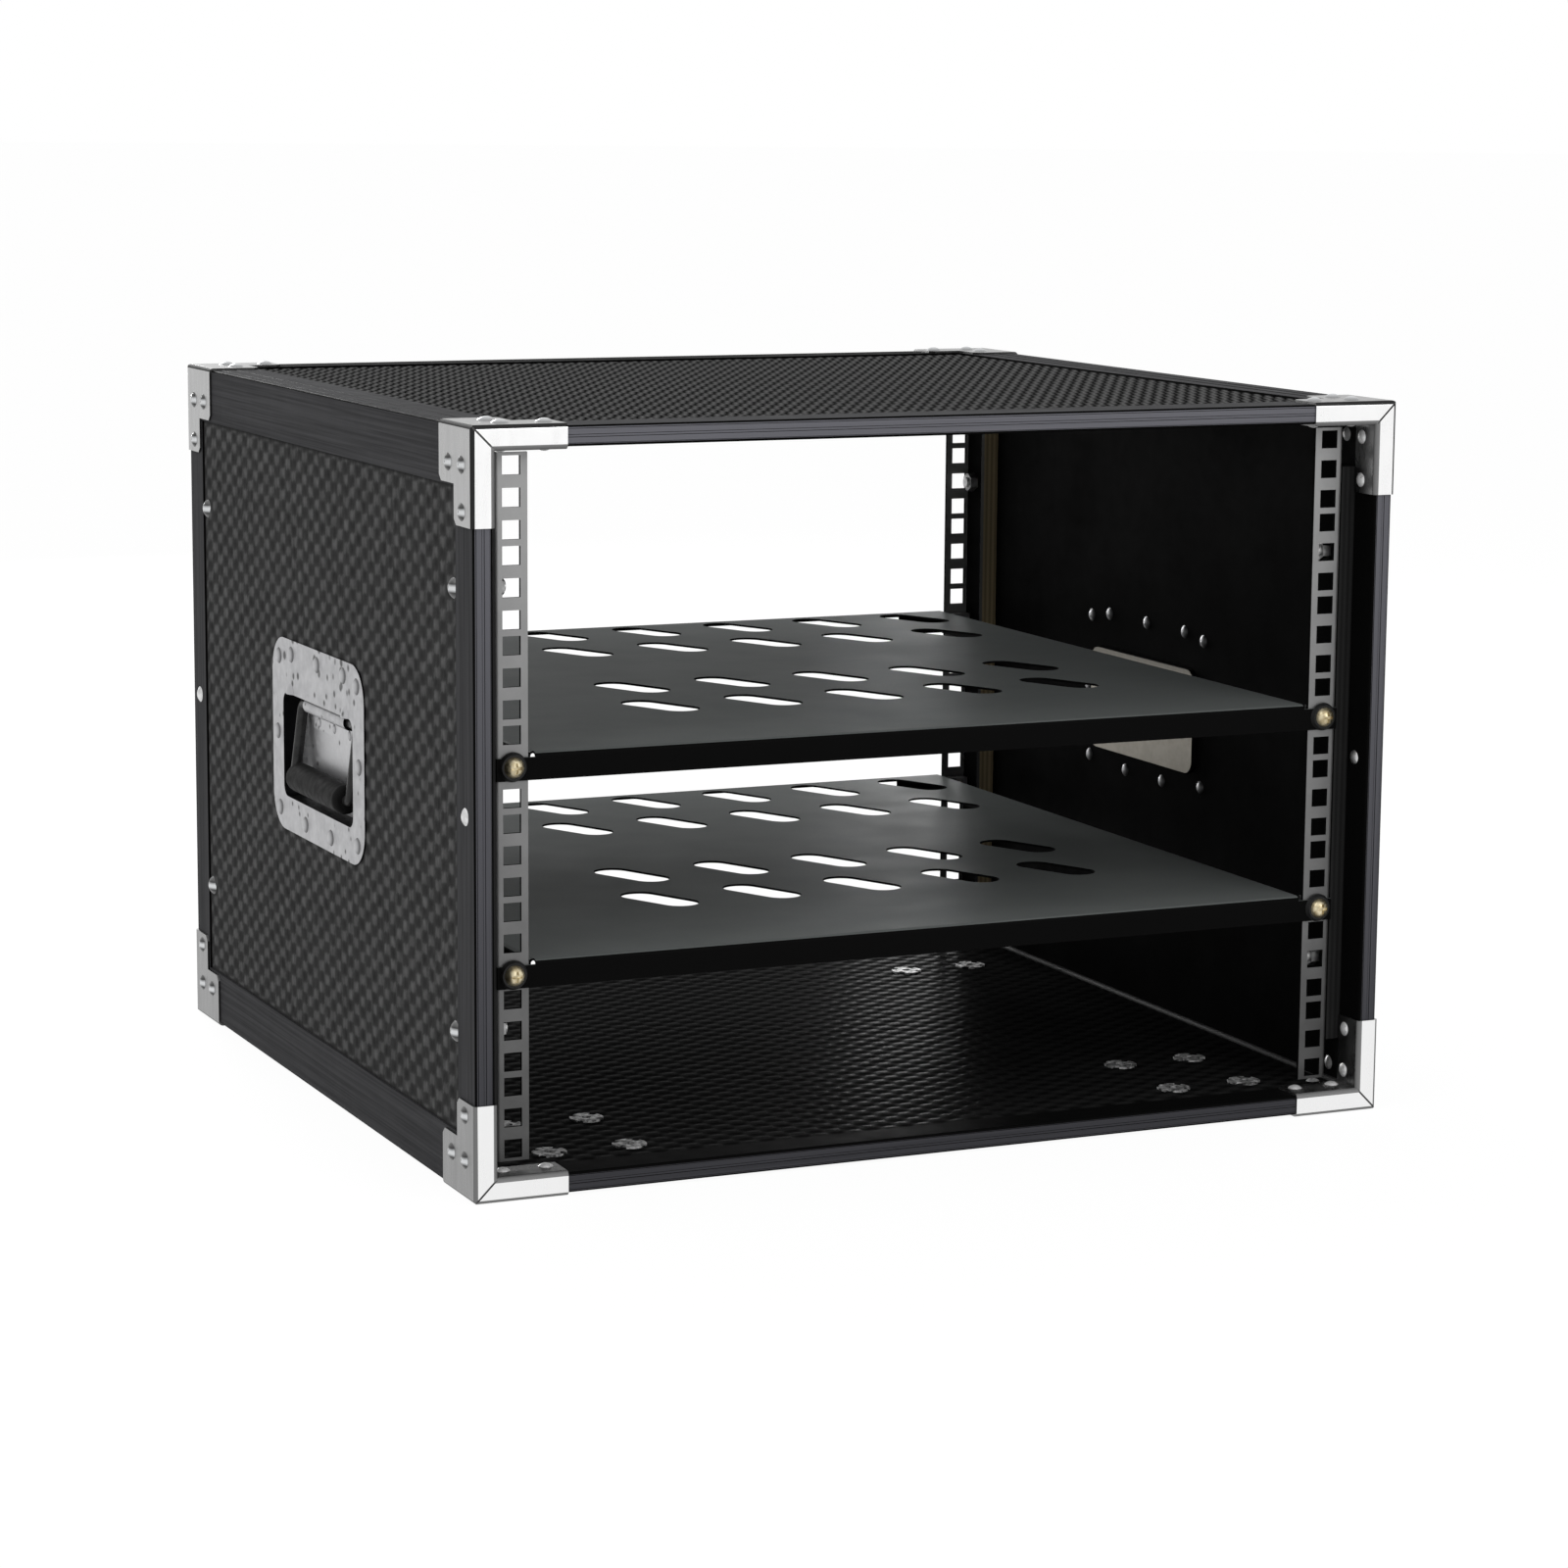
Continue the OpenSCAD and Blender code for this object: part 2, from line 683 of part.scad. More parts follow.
// Places children drawn in a handle's own frame on the left or the right side
module handle(right) {
    flip(right, [1, 0, 0]) translate([-case_w / 2 + sheet, handle_back, case_h / 2]) children();
}

// Rounded outline of the dish's mouth, grown by a margin
module mouth(margin) {
    round_rect(mouth_w + 2 * margin, mouth_h + 2 * margin, dish_r + margin);
}

// Pressed hump over each of the bail's arms, hollow and open into the dish
module hump(r, h) {
    sphere_r = (r * r + h * h) / (2 * h);
    for (sy = [-1, 1]) translate([sphere_r - h, sy * bail_w / 2, mouth_top]) sphere(sphere_r);
}

// Pressed dish with its riveted flange
module handle_dish(right) {
    color([0.72, 0.73, 0.74])
    handle(right) difference() {
        union() {
            translate([-dish_t, 0, 0]) upright(dish_t) round_rect(plate_w, plate_h, plate_r);
            translate([-dish_t, 0, mouth_z]) upright(dish_depth + dish_t) mouth(dish_t);
            intersection() {
                translate([-dish_t, 0, 0]) hump(hump_r, hump_h);
                translate([-dish_t - hump_h - cut, -plate_w / 2, -plate_h / 2])
                    cube([hump_h + cut + dish_t, plate_w, plate_h]);
            }
        }
        translate([-dish_t - hump_h - cut, 0, mouth_z]) upright(dish_depth + hump_h + cut) mouth(0);
        intersection() {
            hump(hump_r, hump_h);
            translate([-dish_t - hump_h, -plate_w / 2, mouth_top - plate_h])
                cube([hump_h + 2 * dish_t, plate_w, plate_h + hump_r]);
        }
        into_side(plate_rivets, -dish_t - cut) cylinder(d = rivet_hole_d, h = dish_t + 2 * cut);
        into_side(retainer_rivets, dish_floor - cut)
            cylinder(d = small_rivet_d + 2 * fit_gap, h = dish_t + 2 * cut);
    }
}

// Strip bent over the bail's pivot and riveted to the dish
module handle_retainer(right) {
    outer = pivot_sleeve + retainer_t;
    color([0.66, 0.67, 0.68])
    handle(right) difference() {
        along_depth(-retainer_w / 2, retainer_w / 2) {
            translate([pivot_x, pivot_z]) {
                intersection() {
                    difference() {
                        circle(outer);
                        circle(pivot_sleeve);
                    }
                    translate([-outer, -outer]) square([outer, 2 * outer]);
                }
                for (z = [-outer, pivot_sleeve])
                    translate([0, z]) square([dish_floor - pivot_x, retainer_t]);
            }
            translate([dish_floor - retainer_t, foot_z])
                square([retainer_t, retainer_foot + retainer_t]);
        }
        into_side(retainer_rivets, dish_floor - retainer_t - cut)
            cylinder(d = small_rivet_d + 2 * fit_gap, h = retainer_t + 2 * cut);
    }
}

// Places children of the swinging loop: origin on the pivot, the loop hanging along -z
module swing_frame(right) {
    handle(right) translate([pivot_x, 0, pivot_z]) rotate([0, bail_lean, 0]) children();
}

// Closed loop of round rod: pivot bar, two arms, grip bar and four bends
module handle_bail(right) {
    bar = bail_w - 2 * bail_bend;
    arm = bail_drop - 2 * bail_bend;
    // Each bend: side of the loop, upper 0 or lower 1, and turn
    bends = [[1, 0, 0], [-1, 0, 90], [-1, 1, 180], [1, 1, 270]];
    color([0.7, 0.71, 0.72])
    swing_frame(right) union() {
        for (z = [0, -bail_drop]) translate([0, 0, z])
            rotate([90, 0, 0]) cylinder(r = rod_r, h = bar, center = true);
        for (sy = [-1, 1]) translate([0, sy * bail_w / 2, bail_bend - bail_drop])
            cylinder(r = rod_r, h = arm);
        for (b = bends) translate([0, b[0] * bar / 2, -bail_bend - b[1] * arm])
            rotate([90, 0, 90]) rotate(b[2])
                rotate_extrude(angle = 90) translate([bail_bend, 0]) circle(rod_r);
    }
}

// Rubber sleeve on the grip bar
module handle_grip(right) {
    color([0.07, 0.07, 0.07])
    swing_frame(right) translate([0, 0, -bail_drop]) rotate([90, 0, 0])
        translate([0, 0, -grip_len / 2]) rotate_extrude() difference() {
            union() {
                translate([0, grip_round]) square([grip_d / 2, grip_len - 2 * grip_round]);
                square([grip_d / 2 - grip_round, grip_len]);
                for (y = [grip_round, grip_len - grip_round])
                    translate([grip_d / 2 - grip_round, y]) circle(grip_round);
            }
            translate([0, -cut]) square([rod_r + fit_gap, grip_len + 2 * cut]);
        }
}

// Rivets that hold the dish in the panel and the retainer in the dish
module handle_rivets(right) {
    color([0.75, 0.76, 0.77])
    handle(right) {
        into_side(plate_rivets, -dish_t) rivet(dish_t + panel_t);
        into_side(retainer_rivets, dish_floor - retainer_t)
            rivet(retainer_t + dish_t, small_rivet_d, small_head_d, small_head_h,
                  small_head_d, small_head_h);
    }
}

// Rivets of the corner fittings with domed heads: all sides and the top
module corner_rivets() {
    color([0.75, 0.76, 0.77])
    for (right = [false, true], rear = [false, true], top = [false, true])
        octant(right, rear, top) {
            into_side(through_rivets) rivet(corner_web);
            into_side(angle_rivets) rivet(wall);
            if (top) swap_side() {
                into_side(through_rivets) rivet(corner_web);
                into_side(angle_rivets) rivet(wall);
            }
        }
}

// Countersunk rivets of the corner fittings under the case
module base_rivets() {
    color([0.75, 0.76, 0.77])
    for (right = [false, true], rear = [false, true])
        octant(right, rear) swap_side() {
            into_side(through_rivets) flush_rivet(corner_web);
            into_side(angle_rivets) flush_rivet(wall);
        }
}

// Rivets of the upright edgings at mid height
module edging_rivets() {
    color([0.75, 0.76, 0.77])
    for (right = [false, true], rear = [false, true])
        octant(right, rear) into_side([[flange_rivet, case_h / 2]], corner_t) rivet(edging_web);
}

// Domed bolts through panel, spacer and rail
module rail_bolts() {
    grip = panel_t + spacer_t + rail_t;
    color([0.75, 0.76, 0.77])
    for (right = [false, true], rear = [false, true])
        octant(right, rear) rail_bolt_places(sheet) rotate_extrude() {
            cap(bolt_head_d, bolt_head_h);
            square([bolt_d / 2, grip + nut_h + bolt_d / 4]);
        }
}

// Hexagon nuts of the rail bolts, on the rails' flanges
module rail_nuts() {
    color([0.6, 0.6, 0.6])
    for (right = [false, true], rear = [false, true])
        octant(right, rear) rail_bolt_places(case_w / 2 - rail_x + rail_t) difference() {
            cylinder(d = nut_flats / cos(30), h = nut_h, $fn = 6);
            translate([0, 0, -cut]) cylinder(d = bolt_hole_d, h = nut_h + 2 * cut);
        }
}

// Places children at the shelves' fixings, drawn along the depth from the rails' faces
module shelf_fixings() {
    for (right = [false, true], rear = [false, true], hole = [lower_shelf_hole, upper_shelf_hole])
        octant(right, rear)
            translate([case_w / 2 - hole_columns / 2, rail_inset, hole_z(hole)])
                rotate([-90, 0, 0]) children();
}

// Pan-head screws with a cross recess
module shelf_screws() {
    seat = -shelf_t - washer_h;
    color([0.78, 0.7, 0.5])
    shelf_fixings() difference() {
        rotate_extrude() {
            translate([0, seat]) cap(screw_head_d, screw_head_h);
            translate([0, seat]) square([bolt_d / 2, -seat + rail_t + cage_depth + bolt_d / 4]);
        }
        for (turn = [0, 90]) rotate(turn)
            translate([-recess_arm / 2, -recess_w / 2, seat - screw_head_h - cut])
                cube([recess_arm, recess_w, recess_depth + cut]);
    }
}

// Conical washers under the shelf screws
module cup_washers() {
    color([0.08, 0.08, 0.08])
    shelf_fixings() translate([0, 0, -shelf_t]) rotate_extrude()
        polygon([
            [bolt_hole_d / 2, 0],
            [washer_d / 2, 0],
            [(washer_d + screw_head_d) / 4, -washer_h],
            [bolt_hole_d / 2, -washer_h]
        ]);
}

// Cage nuts: a collar in the square hole and a body behind the rail
module cage_nuts() {
    collar = rack_hole - 2 * fit_gap;
    color([0.6, 0.6, 0.6])
    shelf_fixings() difference() {
        union() {
            translate([-collar / 2, -collar / 2, 0]) cube([collar, collar, rail_t]);
            translate([-cage_side / 2, -cage_side / 2, rail_t])
                cube([cage_side, cage_side, cage_depth]);
        }
        translate([0, 0, -cut]) cylinder(d = bolt_hole_d, h = rail_t + cage_depth + 2 * cut);
    }
}

// Tee nuts pressed into the floor from above, for caster plates below
module caster_tee_nuts() {
    barrel = panel_t - tee_floor;
    rim = tee_flange_d / 2;
    color([0.75, 0.76, 0.77])
    for (p = tee_nuts) translate([p[0], p[1], wall]) difference() {
        rotate_extrude() polygon([
            [tee_bore_d / 2, -barrel],
            [tee_barrel_d / 2, -barrel],
            [tee_barrel_d / 2, 0],
            [rim, 0],
            [rim, tee_flange_t],
            [tee_bore_d / 2, tee_flange_t]
        ]);
        for (quarter = [0:3]) rotate(90 * quarter + 45)
            translate([rim - tee_notch_depth, -tee_notch_w / 2, -cut])
                cube([tee_notch_depth + cut, tee_notch_w, tee_flange_t + 2 * cut]);
    }
}

module left_panel() { side_panel(false); }
module right_panel() { side_panel(true); }
module top_panel() { level_panel(true); }
module bottom_panel() { level_panel(false); }
module angle_top_left() { edge_angle(false, true); }
module angle_top_right() { edge_angle(true, true); }
module angle_bottom_left() { edge_angle(false, false); }
module angle_bottom_right() { edge_angle(true, false); }
module edging_front_left() { upright_edging(false, false); }
module edging_front_right() { upright_edging(true, false); }
module edging_front_top() { level_edging(false, true); }
module edging_front_bottom() { level_edging(false, false); }
module edging_rear_left() { upright_edging(false, true); }
module edging_rear_right() { upright_edging(true, true); }
module edging_rear_top() { level_edging(true, true); }
module edging_rear_bottom() { level_edging(true, false); }
module corner_front_bottom_left() { corner(false, false, false); }
module corner_front_bottom_right() { corner(true, false, false); }
module corner_front_top_left() { corner(false, false, true); }
module corner_front_top_right() { corner(true, false, true); }
module corner_rear_bottom_left() { corner(false, true, false); }
module corner_rear_bottom_right() { corner(true, true, false); }
module corner_rear_top_left() { corner(false, true, true); }
module corner_rear_top_right() { corner(true, true, true); }
module rail_front_left() { rail(false, false); }
module rail_front_right() { rail(true, false); }
module rail_rear_left() { rail(false, true); }
module rail_rear_right() { rail(true, true); }
module spacer_front_left() { spacer(false, false); }
module spacer_front_right() { spacer(true, false); }
module spacer_rear_left() { spacer(false, true); }
module spacer_rear_right() { spacer(true, true); }
module upper_shelf() { shelf(upper_shelf_hole); }
module lower_shelf() { shelf(lower_shelf_hole); }
module left_handle_dish() { handle_dish(false); }
module left_handle_retainer() { handle_retainer(false); }
module left_handle_bail() { handle_bail(false); }
module left_handle_grip() { handle_grip(false); }
module left_handle_rivets() { handle_rivets(false); }
module right_handle_dish() { handle_dish(true); }
module right_handle_retainer() { handle_retainer(true); }
module right_handle_bail() { handle_bail(true); }
module right_handle_grip() { handle_grip(true); }
module right_handle_rivets() { handle_rivets(true); }

left_panel();
right_panel();
top_panel();
bottom_panel();
angle_top_left();
angle_top_right();
angle_bottom_left();
angle_bottom_right();
edging_front_left();
edging_front_right();
edging_front_top();
edging_front_bottom();
edging_rear_left();
edging_rear_right();
edging_rear_top();
edging_rear_bottom();
corner_front_bottom_left();
corner_front_bottom_right();
corner_front_top_left();
corner_front_top_right();
corner_rear_bottom_left();
corner_rear_bottom_right();
corner_rear_top_left();
corner_rear_top_right();
rail_front_left();
rail_front_right();
rail_rear_left();
rail_rear_right();
spacer_front_left();
spacer_front_right();
spacer_rear_left();
spacer_rear_right();
upper_shelf();
lower_shelf();
left_handle_dish();
left_handle_retainer();
left_handle_bail();
left_handle_grip();
left_handle_rivets();
right_handle_dish();
right_handle_retainer();
right_handle_bail();
right_handle_grip();
right_handle_rivets();
corner_rivets();
base_rivets();
edging_rivets();
rail_bolts();
rail_nuts();
shelf_screws();
cup_washers();
cage_nuts();
caster_tee_nuts();
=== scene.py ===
# Open rack case of laminated plywood, dressed around its fixed frame: embossed laminate, dark
# aluminium edging, plated corners, zinc rails, painted shelves and swinging side handles.
import json
import math

import bmesh
import bpy
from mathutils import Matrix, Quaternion, Vector


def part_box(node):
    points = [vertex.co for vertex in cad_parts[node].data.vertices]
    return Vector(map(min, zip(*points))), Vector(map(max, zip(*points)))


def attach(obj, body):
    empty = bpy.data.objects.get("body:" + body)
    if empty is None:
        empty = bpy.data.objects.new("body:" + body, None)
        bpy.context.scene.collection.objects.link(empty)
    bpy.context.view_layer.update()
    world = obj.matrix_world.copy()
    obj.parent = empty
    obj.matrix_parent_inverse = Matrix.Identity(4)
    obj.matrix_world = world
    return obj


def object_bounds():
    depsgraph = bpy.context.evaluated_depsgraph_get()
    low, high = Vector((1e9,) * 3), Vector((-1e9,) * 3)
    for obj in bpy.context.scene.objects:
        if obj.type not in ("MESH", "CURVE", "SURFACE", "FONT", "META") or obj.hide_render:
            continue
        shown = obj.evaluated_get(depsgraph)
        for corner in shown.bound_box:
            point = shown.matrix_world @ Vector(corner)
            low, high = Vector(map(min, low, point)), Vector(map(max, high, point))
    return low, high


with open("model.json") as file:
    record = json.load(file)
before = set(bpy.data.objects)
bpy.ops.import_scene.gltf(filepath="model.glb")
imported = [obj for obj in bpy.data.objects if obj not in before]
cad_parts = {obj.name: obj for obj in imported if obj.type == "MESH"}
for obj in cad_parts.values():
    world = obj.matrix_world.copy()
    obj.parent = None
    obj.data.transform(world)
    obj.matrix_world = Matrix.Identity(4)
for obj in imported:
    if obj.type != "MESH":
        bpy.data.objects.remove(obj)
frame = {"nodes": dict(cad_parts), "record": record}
cad_box = [list(corner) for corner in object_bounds()]

# Studio: a wide pale floor under a white surround, as in a catalogue picture. The floor keeps a
# faint shadow, and both show white to the camera and in the reflections.
mm = 0.001
scene = bpy.context.scene
scene.view_settings.view_transform = "Standard"
white = (1, 1, 1, 1)
surround_light = 0.5
floor_radius = 40.0
floor_drop = 0.2 * mm
floor_tone = (0.86, 0.86, 0.86, 1)
floor_roughness = 0.9
floor_glow = 0.92
glow_strength = 1.035


def seen_directly(tree):
    """Light Path value that is 1 for camera, glossy and transmission rays."""
    path = tree.nodes.new("ShaderNodeLightPath")
    seen = path.outputs["Is Camera Ray"]
    for ray in ("Is Glossy Ray", "Is Transmission Ray"):
        either = tree.nodes.new("ShaderNodeMath")
        either.operation = "MAXIMUM"
        tree.links.new(seen, either.inputs[0])
        tree.links.new(path.outputs[ray], either.inputs[1])
        seen = either.outputs[0]
    return seen


def show(tree, share, lit, shown, output):
    """Ends a shader tree in a mix: a share of 0 gives the lit shader, of 1 the shown one."""
    mix = tree.nodes.new("ShaderNodeMixShader")
    tree.links.new(share, mix.inputs["Fac"])
    tree.links.new(lit.outputs[0], mix.inputs[1])
    tree.links.new(shown.outputs[0], mix.inputs[2])
    tree.links.new(mix.outputs[0], tree.nodes[output].inputs["Surface"])


surround = bpy.data.worlds.new("surround")
scene.world = surround
surround.use_nodes = True
sky = surround.node_tree
soft_light = sky.nodes["Background"]
soft_light.inputs["Color"].default_value = white
soft_light.inputs["Strength"].default_value = surround_light
white_wall = sky.nodes.new("ShaderNodeBackground")
white_wall.inputs["Color"].default_value = white
white_wall.inputs["Strength"].default_value = 1.0
show(sky, seen_directly(sky), soft_light, white_wall, "World Output")

floor_paint = bpy.data.materials.new("pale_floor")
floor_paint.use_nodes = True
paint_tree = floor_paint.node_tree
matt = paint_tree.nodes["Principled BSDF"]
matt.inputs["Base Color"].default_value = floor_tone
matt.inputs["Roughness"].default_value = floor_roughness
glow = paint_tree.nodes.new("ShaderNodeEmission")
glow.inputs["Strength"].default_value = glow_strength
glow_share = paint_tree.nodes.new("ShaderNodeMath")
glow_share.operation = "MULTIPLY"
glow_share.inputs[1].default_value = floor_glow
paint_tree.links.new(seen_directly(paint_tree), glow_share.inputs[0])
show(paint_tree, glow_share.outputs[0], matt, glow, "Material Output")

bpy.ops.mesh.primitive_circle_add(vertices=96, radius=floor_radius, fill_type="NGON")
studio_floor = bpy.context.object
studio_floor.name = "studio_floor"
studio_floor.location.z = -floor_drop
studio_floor.data.materials.append(floor_paint)

# Lamps: a large soft box in front and to the right, a smaller one high on the left for the top and
# the side, a low one behind, and a narrow strip at the rear right that glints on the case's floor.
case_low, case_high = (Vector(corner) for corner in cad_box)
case_middle = (case_low + case_high) / 2


def soft_box(name, place, width, height, power):
    """An area lamp that faces the middle of the case."""
    lamp = bpy.data.lights.new(name, "AREA")
    lamp.shape = "RECTANGLE"
    lamp.size = width
    lamp.size_y = height
    lamp.energy = power
    stand = bpy.data.objects.new(name, lamp)
    stand.location = place
    stand.rotation_mode = "QUATERNION"
    stand.rotation_quaternion = (case_middle - Vector(place)).to_track_quat("-Z", "Y")
    stand.visible_camera = False
    scene.collection.objects.link(stand)


soft_box("front_box", place=(0.6, -2.6, 1.7), width=2.0, height=1.6, power=24)
soft_box("top_left_box", place=(-1.8, -0.6, 2.2), width=1.6, height=1.6, power=14)
soft_box("rear_box", place=(-0.05, 2.4, 0.9), width=0.4, height=1.2, power=36)
soft_box("rear_strip", place=(0.54, 0.9, 0.24), width=0.1, height=0.2, power=0.7)

# Camera: a long lens at chest height, in front and to the left of the case, a little above it.
# Its place comes from fitting the rack holes and the corners of the case in the photograph.
camera_place = Vector((-0.9502, -2.1346, 0.5452))
camera_aim = Vector((-0.0157, -0.0669, 0.1698))
camera_roll = math.radians(0.43)
lens = bpy.data.cameras.new("camera")
lens.sensor_width = 36
lens.lens = 96.09
camera = bpy.data.objects.new("camera", lens)
camera.location = camera_place
camera.rotation_mode = "QUATERNION"
unrolled = (camera_aim - camera_place).to_track_quat("-Z", "Y")
camera.rotation_quaternion = unrolled @ Quaternion((0, 0, 1), camera_roll)
scene.collection.objects.link(camera)
scene.camera = camera

# Panels: 8 mm plywood faced with black laminate, butted at the corners of the box. Their inner
# faces are smooth, matt and nearly black, and show between the rails and round the handles.
noise_low = 0.3
noise_high = 0.7
vein_start = 0.35
vein_end = 0.65


def finish(name, gloss=0.5, metal=0.0, rough=0.5):
    """A new surface finish, to be coloured and grained by the calls below."""
    made = bpy.data.materials.new(name)
    made.use_nodes = True
    shader = made.node_tree.nodes["Principled BSDF"]
    shader.inputs["Specular IOR Level"].default_value = gloss
    shader.inputs["Metallic"].default_value = metal
    shader.inputs["Roughness"].default_value = rough
    return made


def feed(made, socket, value):
    """Feeds a pattern into a socket of a finish."""
    tree = made.node_tree
    tree.links.new(value, tree.nodes["Principled BSDF"].inputs[socket])


def cloud(made, patch, stretch=(1, 1, 1), detail=4):
    """Noise in patches of the given size in metres, longer along an axis with a small stretch."""
    tree = made.node_tree
    place = tree.nodes.new("ShaderNodeTexCoord")
    mapping = tree.nodes.new("ShaderNodeMapping")
    mapping.inputs["Scale"].default_value = stretch
    noise = tree.nodes.new("ShaderNodeTexNoise")
    noise.inputs["Scale"].default_value = 1 / patch
    noise.inputs["Detail"].default_value = detail
    tree.links.new(place.outputs["Object"], mapping.inputs["Vector"])
    tree.links.new(mapping.outputs["Vector"], noise.inputs["Vector"])
    return noise.outputs["Fac"]


def ramp(made, value, first, last, *between):
    """A colour read off a scale of (position, colour) marks."""
    tree = made.node_tree
    scale = tree.nodes.new("ShaderNodeValToRGB")
    marks = scale.color_ramp.elements
    for mark, (position, tone) in zip((marks[0], marks[1]), (first, last)):
        mark.position = position
        mark.color = (*tone, 1)
    for position, tone in between:
        marks.new(position).color = (*tone, 1)
    tree.links.new(value, scale.inputs["Fac"])
    return scale.outputs["Color"]


def veined(made, pattern, dark, light):
    """A colour that goes from dark to light over the middle of a pattern."""
    return ramp(made, pattern, (vein_start, dark), (vein_end, light))


def graded(made, pattern, low, high, start=noise_low, end=noise_high):
    """A value that goes from low to high between two points of a pattern."""
    tree = made.node_tree
    spread = tree.nodes.new("ShaderNodeMapRange")
    spread.inputs["From Min"].default_value = start
    spread.inputs["From Max"].default_value = end
    spread.inputs["To Min"].default_value = low
    spread.inputs["To Max"].default_value = high
    tree.links.new(pattern, spread.inputs["Value"])
    return spread.outputs["Result"]


def paint(made, colour):
    """Gives a finish its colour."""
    feed(made, "Base Color", colour)


def sheen(made, pattern, smooth, dull):
    """Varies a finish from smooth to dull along a pattern."""
    feed(made, "Roughness", graded(made, pattern, smooth, dull))


def relief(made, pattern, depth, strength=1.0):
    """Raises a finish along a pattern by a depth in metres."""
    tree = made.node_tree
    bump = tree.nodes.new("ShaderNodeBump")
    bump.inputs["Strength"].default_value = strength
    bump.inputs["Distance"].default_value = depth
    tree.links.new(pattern, bump.inputs["Height"])
    feed(made, "Normal", bump.outputs["Normal"])


def dress(finish_of_piece, *nodes):
    """Gives nodes of the frame a finish in place of their plain one."""
    for node in nodes:
        mesh = frame["nodes"][node].data
        mesh.materials.clear()
        mesh.materials.append(finish_of_piece)


def grey(tone):
    """A neutral colour."""
    return (tone, tone, tone)


smooth_laminate = finish("smooth_laminate", gloss=0.004)
laminate_cloud = cloud(smooth_laminate, patch=60 * mm)
paint(smooth_laminate, veined(smooth_laminate, laminate_cloud, dark=grey(0.006), light=grey(0.011)))
sheen(smooth_laminate, cloud(smooth_laminate, patch=9 * mm), smooth=0.42, dull=0.58)
relief(smooth_laminate, cloud(smooth_laminate, patch=1.2 * mm), depth=0.03 * mm)
dress(smooth_laminate, "left_panel", "right_panel", "top_panel", "bottom_panel")

# Embossed skins: the laminate's outer faces carry a press pattern of pads and pits that alternate
# like the squares of a draughts board. On the top they are shallower, with fine ribs front to back.
plain_pads = {"pitch": (20 * mm, 12 * mm), "rise": 0.4 * mm, "grid": (6, 6), "ribs": ((1, 0.9),)}
ribbed_pads = {
    "pitch": (20.5 * mm, 11.7 * mm), "rise": 0.12 * mm, "grid": (22, 5),
    "ribs": ((1, 0.4), (3, -2.2), (5, 1.7)),
}
skin_lift = 0.03 * mm
half_height = 0.5
pit_rim = 0.2
pad_rim = 0.9


def press(u, v, pads):
    """Height of the press pattern, 0 in a pit and 1 on a pad."""
    pitch_u, pitch_v = pads["pitch"]
    ribs = sum(share * math.cos(math.tau * number * u / pitch_u) for number, share in pads["ribs"])
    return min(1.0, max(0.0, half_height + ribs * math.cos(math.tau * v / pitch_v)))


def ride_case(made):
    """Adds a piece to the scene as part of the case."""
    scene.collection.objects.link(made)
    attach(made, "case")


def embossed_skin(name, corner, along, up, width, height, pads, laminate, holes=()):
    """A sheet of pressed laminate from a corner of its panel, with holes (low u, v, high u, v)."""
    columns, rows = (
        math.ceil(size * cells / pitch)
        for size, cells, pitch in zip((width, height), pads["grid"], pads["pitch"])
    )
    out = Vector(along).cross(Vector(up))
    points = []
    heights = []
    for row in range(rows + 1):
        for column in range(columns + 1):
            u = width * column / columns
            v = height * row / rows
            at_edge = row in (0, rows) or column in (0, columns)
            rise = 0.0 if at_edge else press(u, v, pads)
            heights.append(rise)
            lift = skin_lift + rise * pads["rise"]
            points.append(Vector(corner) + Vector(along) * u + Vector(up) * v + out * lift)
    faces = []
    for row in range(rows):
        for column in range(columns):
            u = width * (column + 0.5) / columns
            v = height * (row + 0.5) / rows
            if not any(u0 < u < u1 and v0 < v < v1 for u0, v0, u1, v1 in holes):
                first = row * (columns + 1) + column
                faces.append((first, first + 1, first + columns + 2, first + columns + 1))
    data = bpy.data.meshes.new(name)
    data.from_pydata(points, [], faces)
    data.attributes.new("rise", "FLOAT", "POINT").data.foreach_set("value", heights)
    sheet = bmesh.new()
    sheet.from_mesh(data)
    loose = [point for point in sheet.verts if not point.link_faces]
    bmesh.ops.delete(sheet, geom=loose, context="VERTS")
    for face in sheet.faces:
        face.smooth = True
    sheet.to_mesh(data)
    sheet.free()
    data.materials.append(laminate)
    ride_case(bpy.data.objects.new(name, data))


def work_out(made, operation, first, second=0.0):
    """One step of arithmetic on a value, with another value or a number."""
    tree = made.node_tree
    step = tree.nodes.new("ShaderNodeMath")
    step.operation = operation
    tree.links.new(first, step.inputs[0])
    if isinstance(second, float):
        step.inputs[1].default_value = second
    else:
        tree.links.new(second, step.inputs[1])
    return step.outputs[0]


def pressed_laminate(name, pit, flank, pad, mottle, dull, smooth, gloss):
    """Pressed laminate over a fine orange-peel: dull pits painted dark as shade, smoother pads
    painted light as highlights.
    """
    made = finish(name, gloss)
    attribute = made.node_tree.nodes.new("ShaderNodeAttribute")
    attribute.attribute_name = "rise"
    rise = attribute.outputs["Fac"]
    patches = work_out(made, "MULTIPLY", cloud(made, 4 * mm, (1, 1, 0.5)), mottle)
    worn = work_out(made, "ADD", patches, rise)
    height = graded(made, worn, 0.0, 1.0, noise_low * mottle, 1 + noise_high * mottle)
    # Painted shade and highlight: dark in the pits, light on the pads, following the height of the
    # press.
    paint(made, ramp(made, height, (0.0, pit), (1.0, pad), (half_height, flank)))
    feed(made, "Roughness", graded(made, rise, dull, smooth, pit_rim, pad_rim))
    relief(made, cloud(made, 0.7 * mm), 0.02 * mm)
    return made


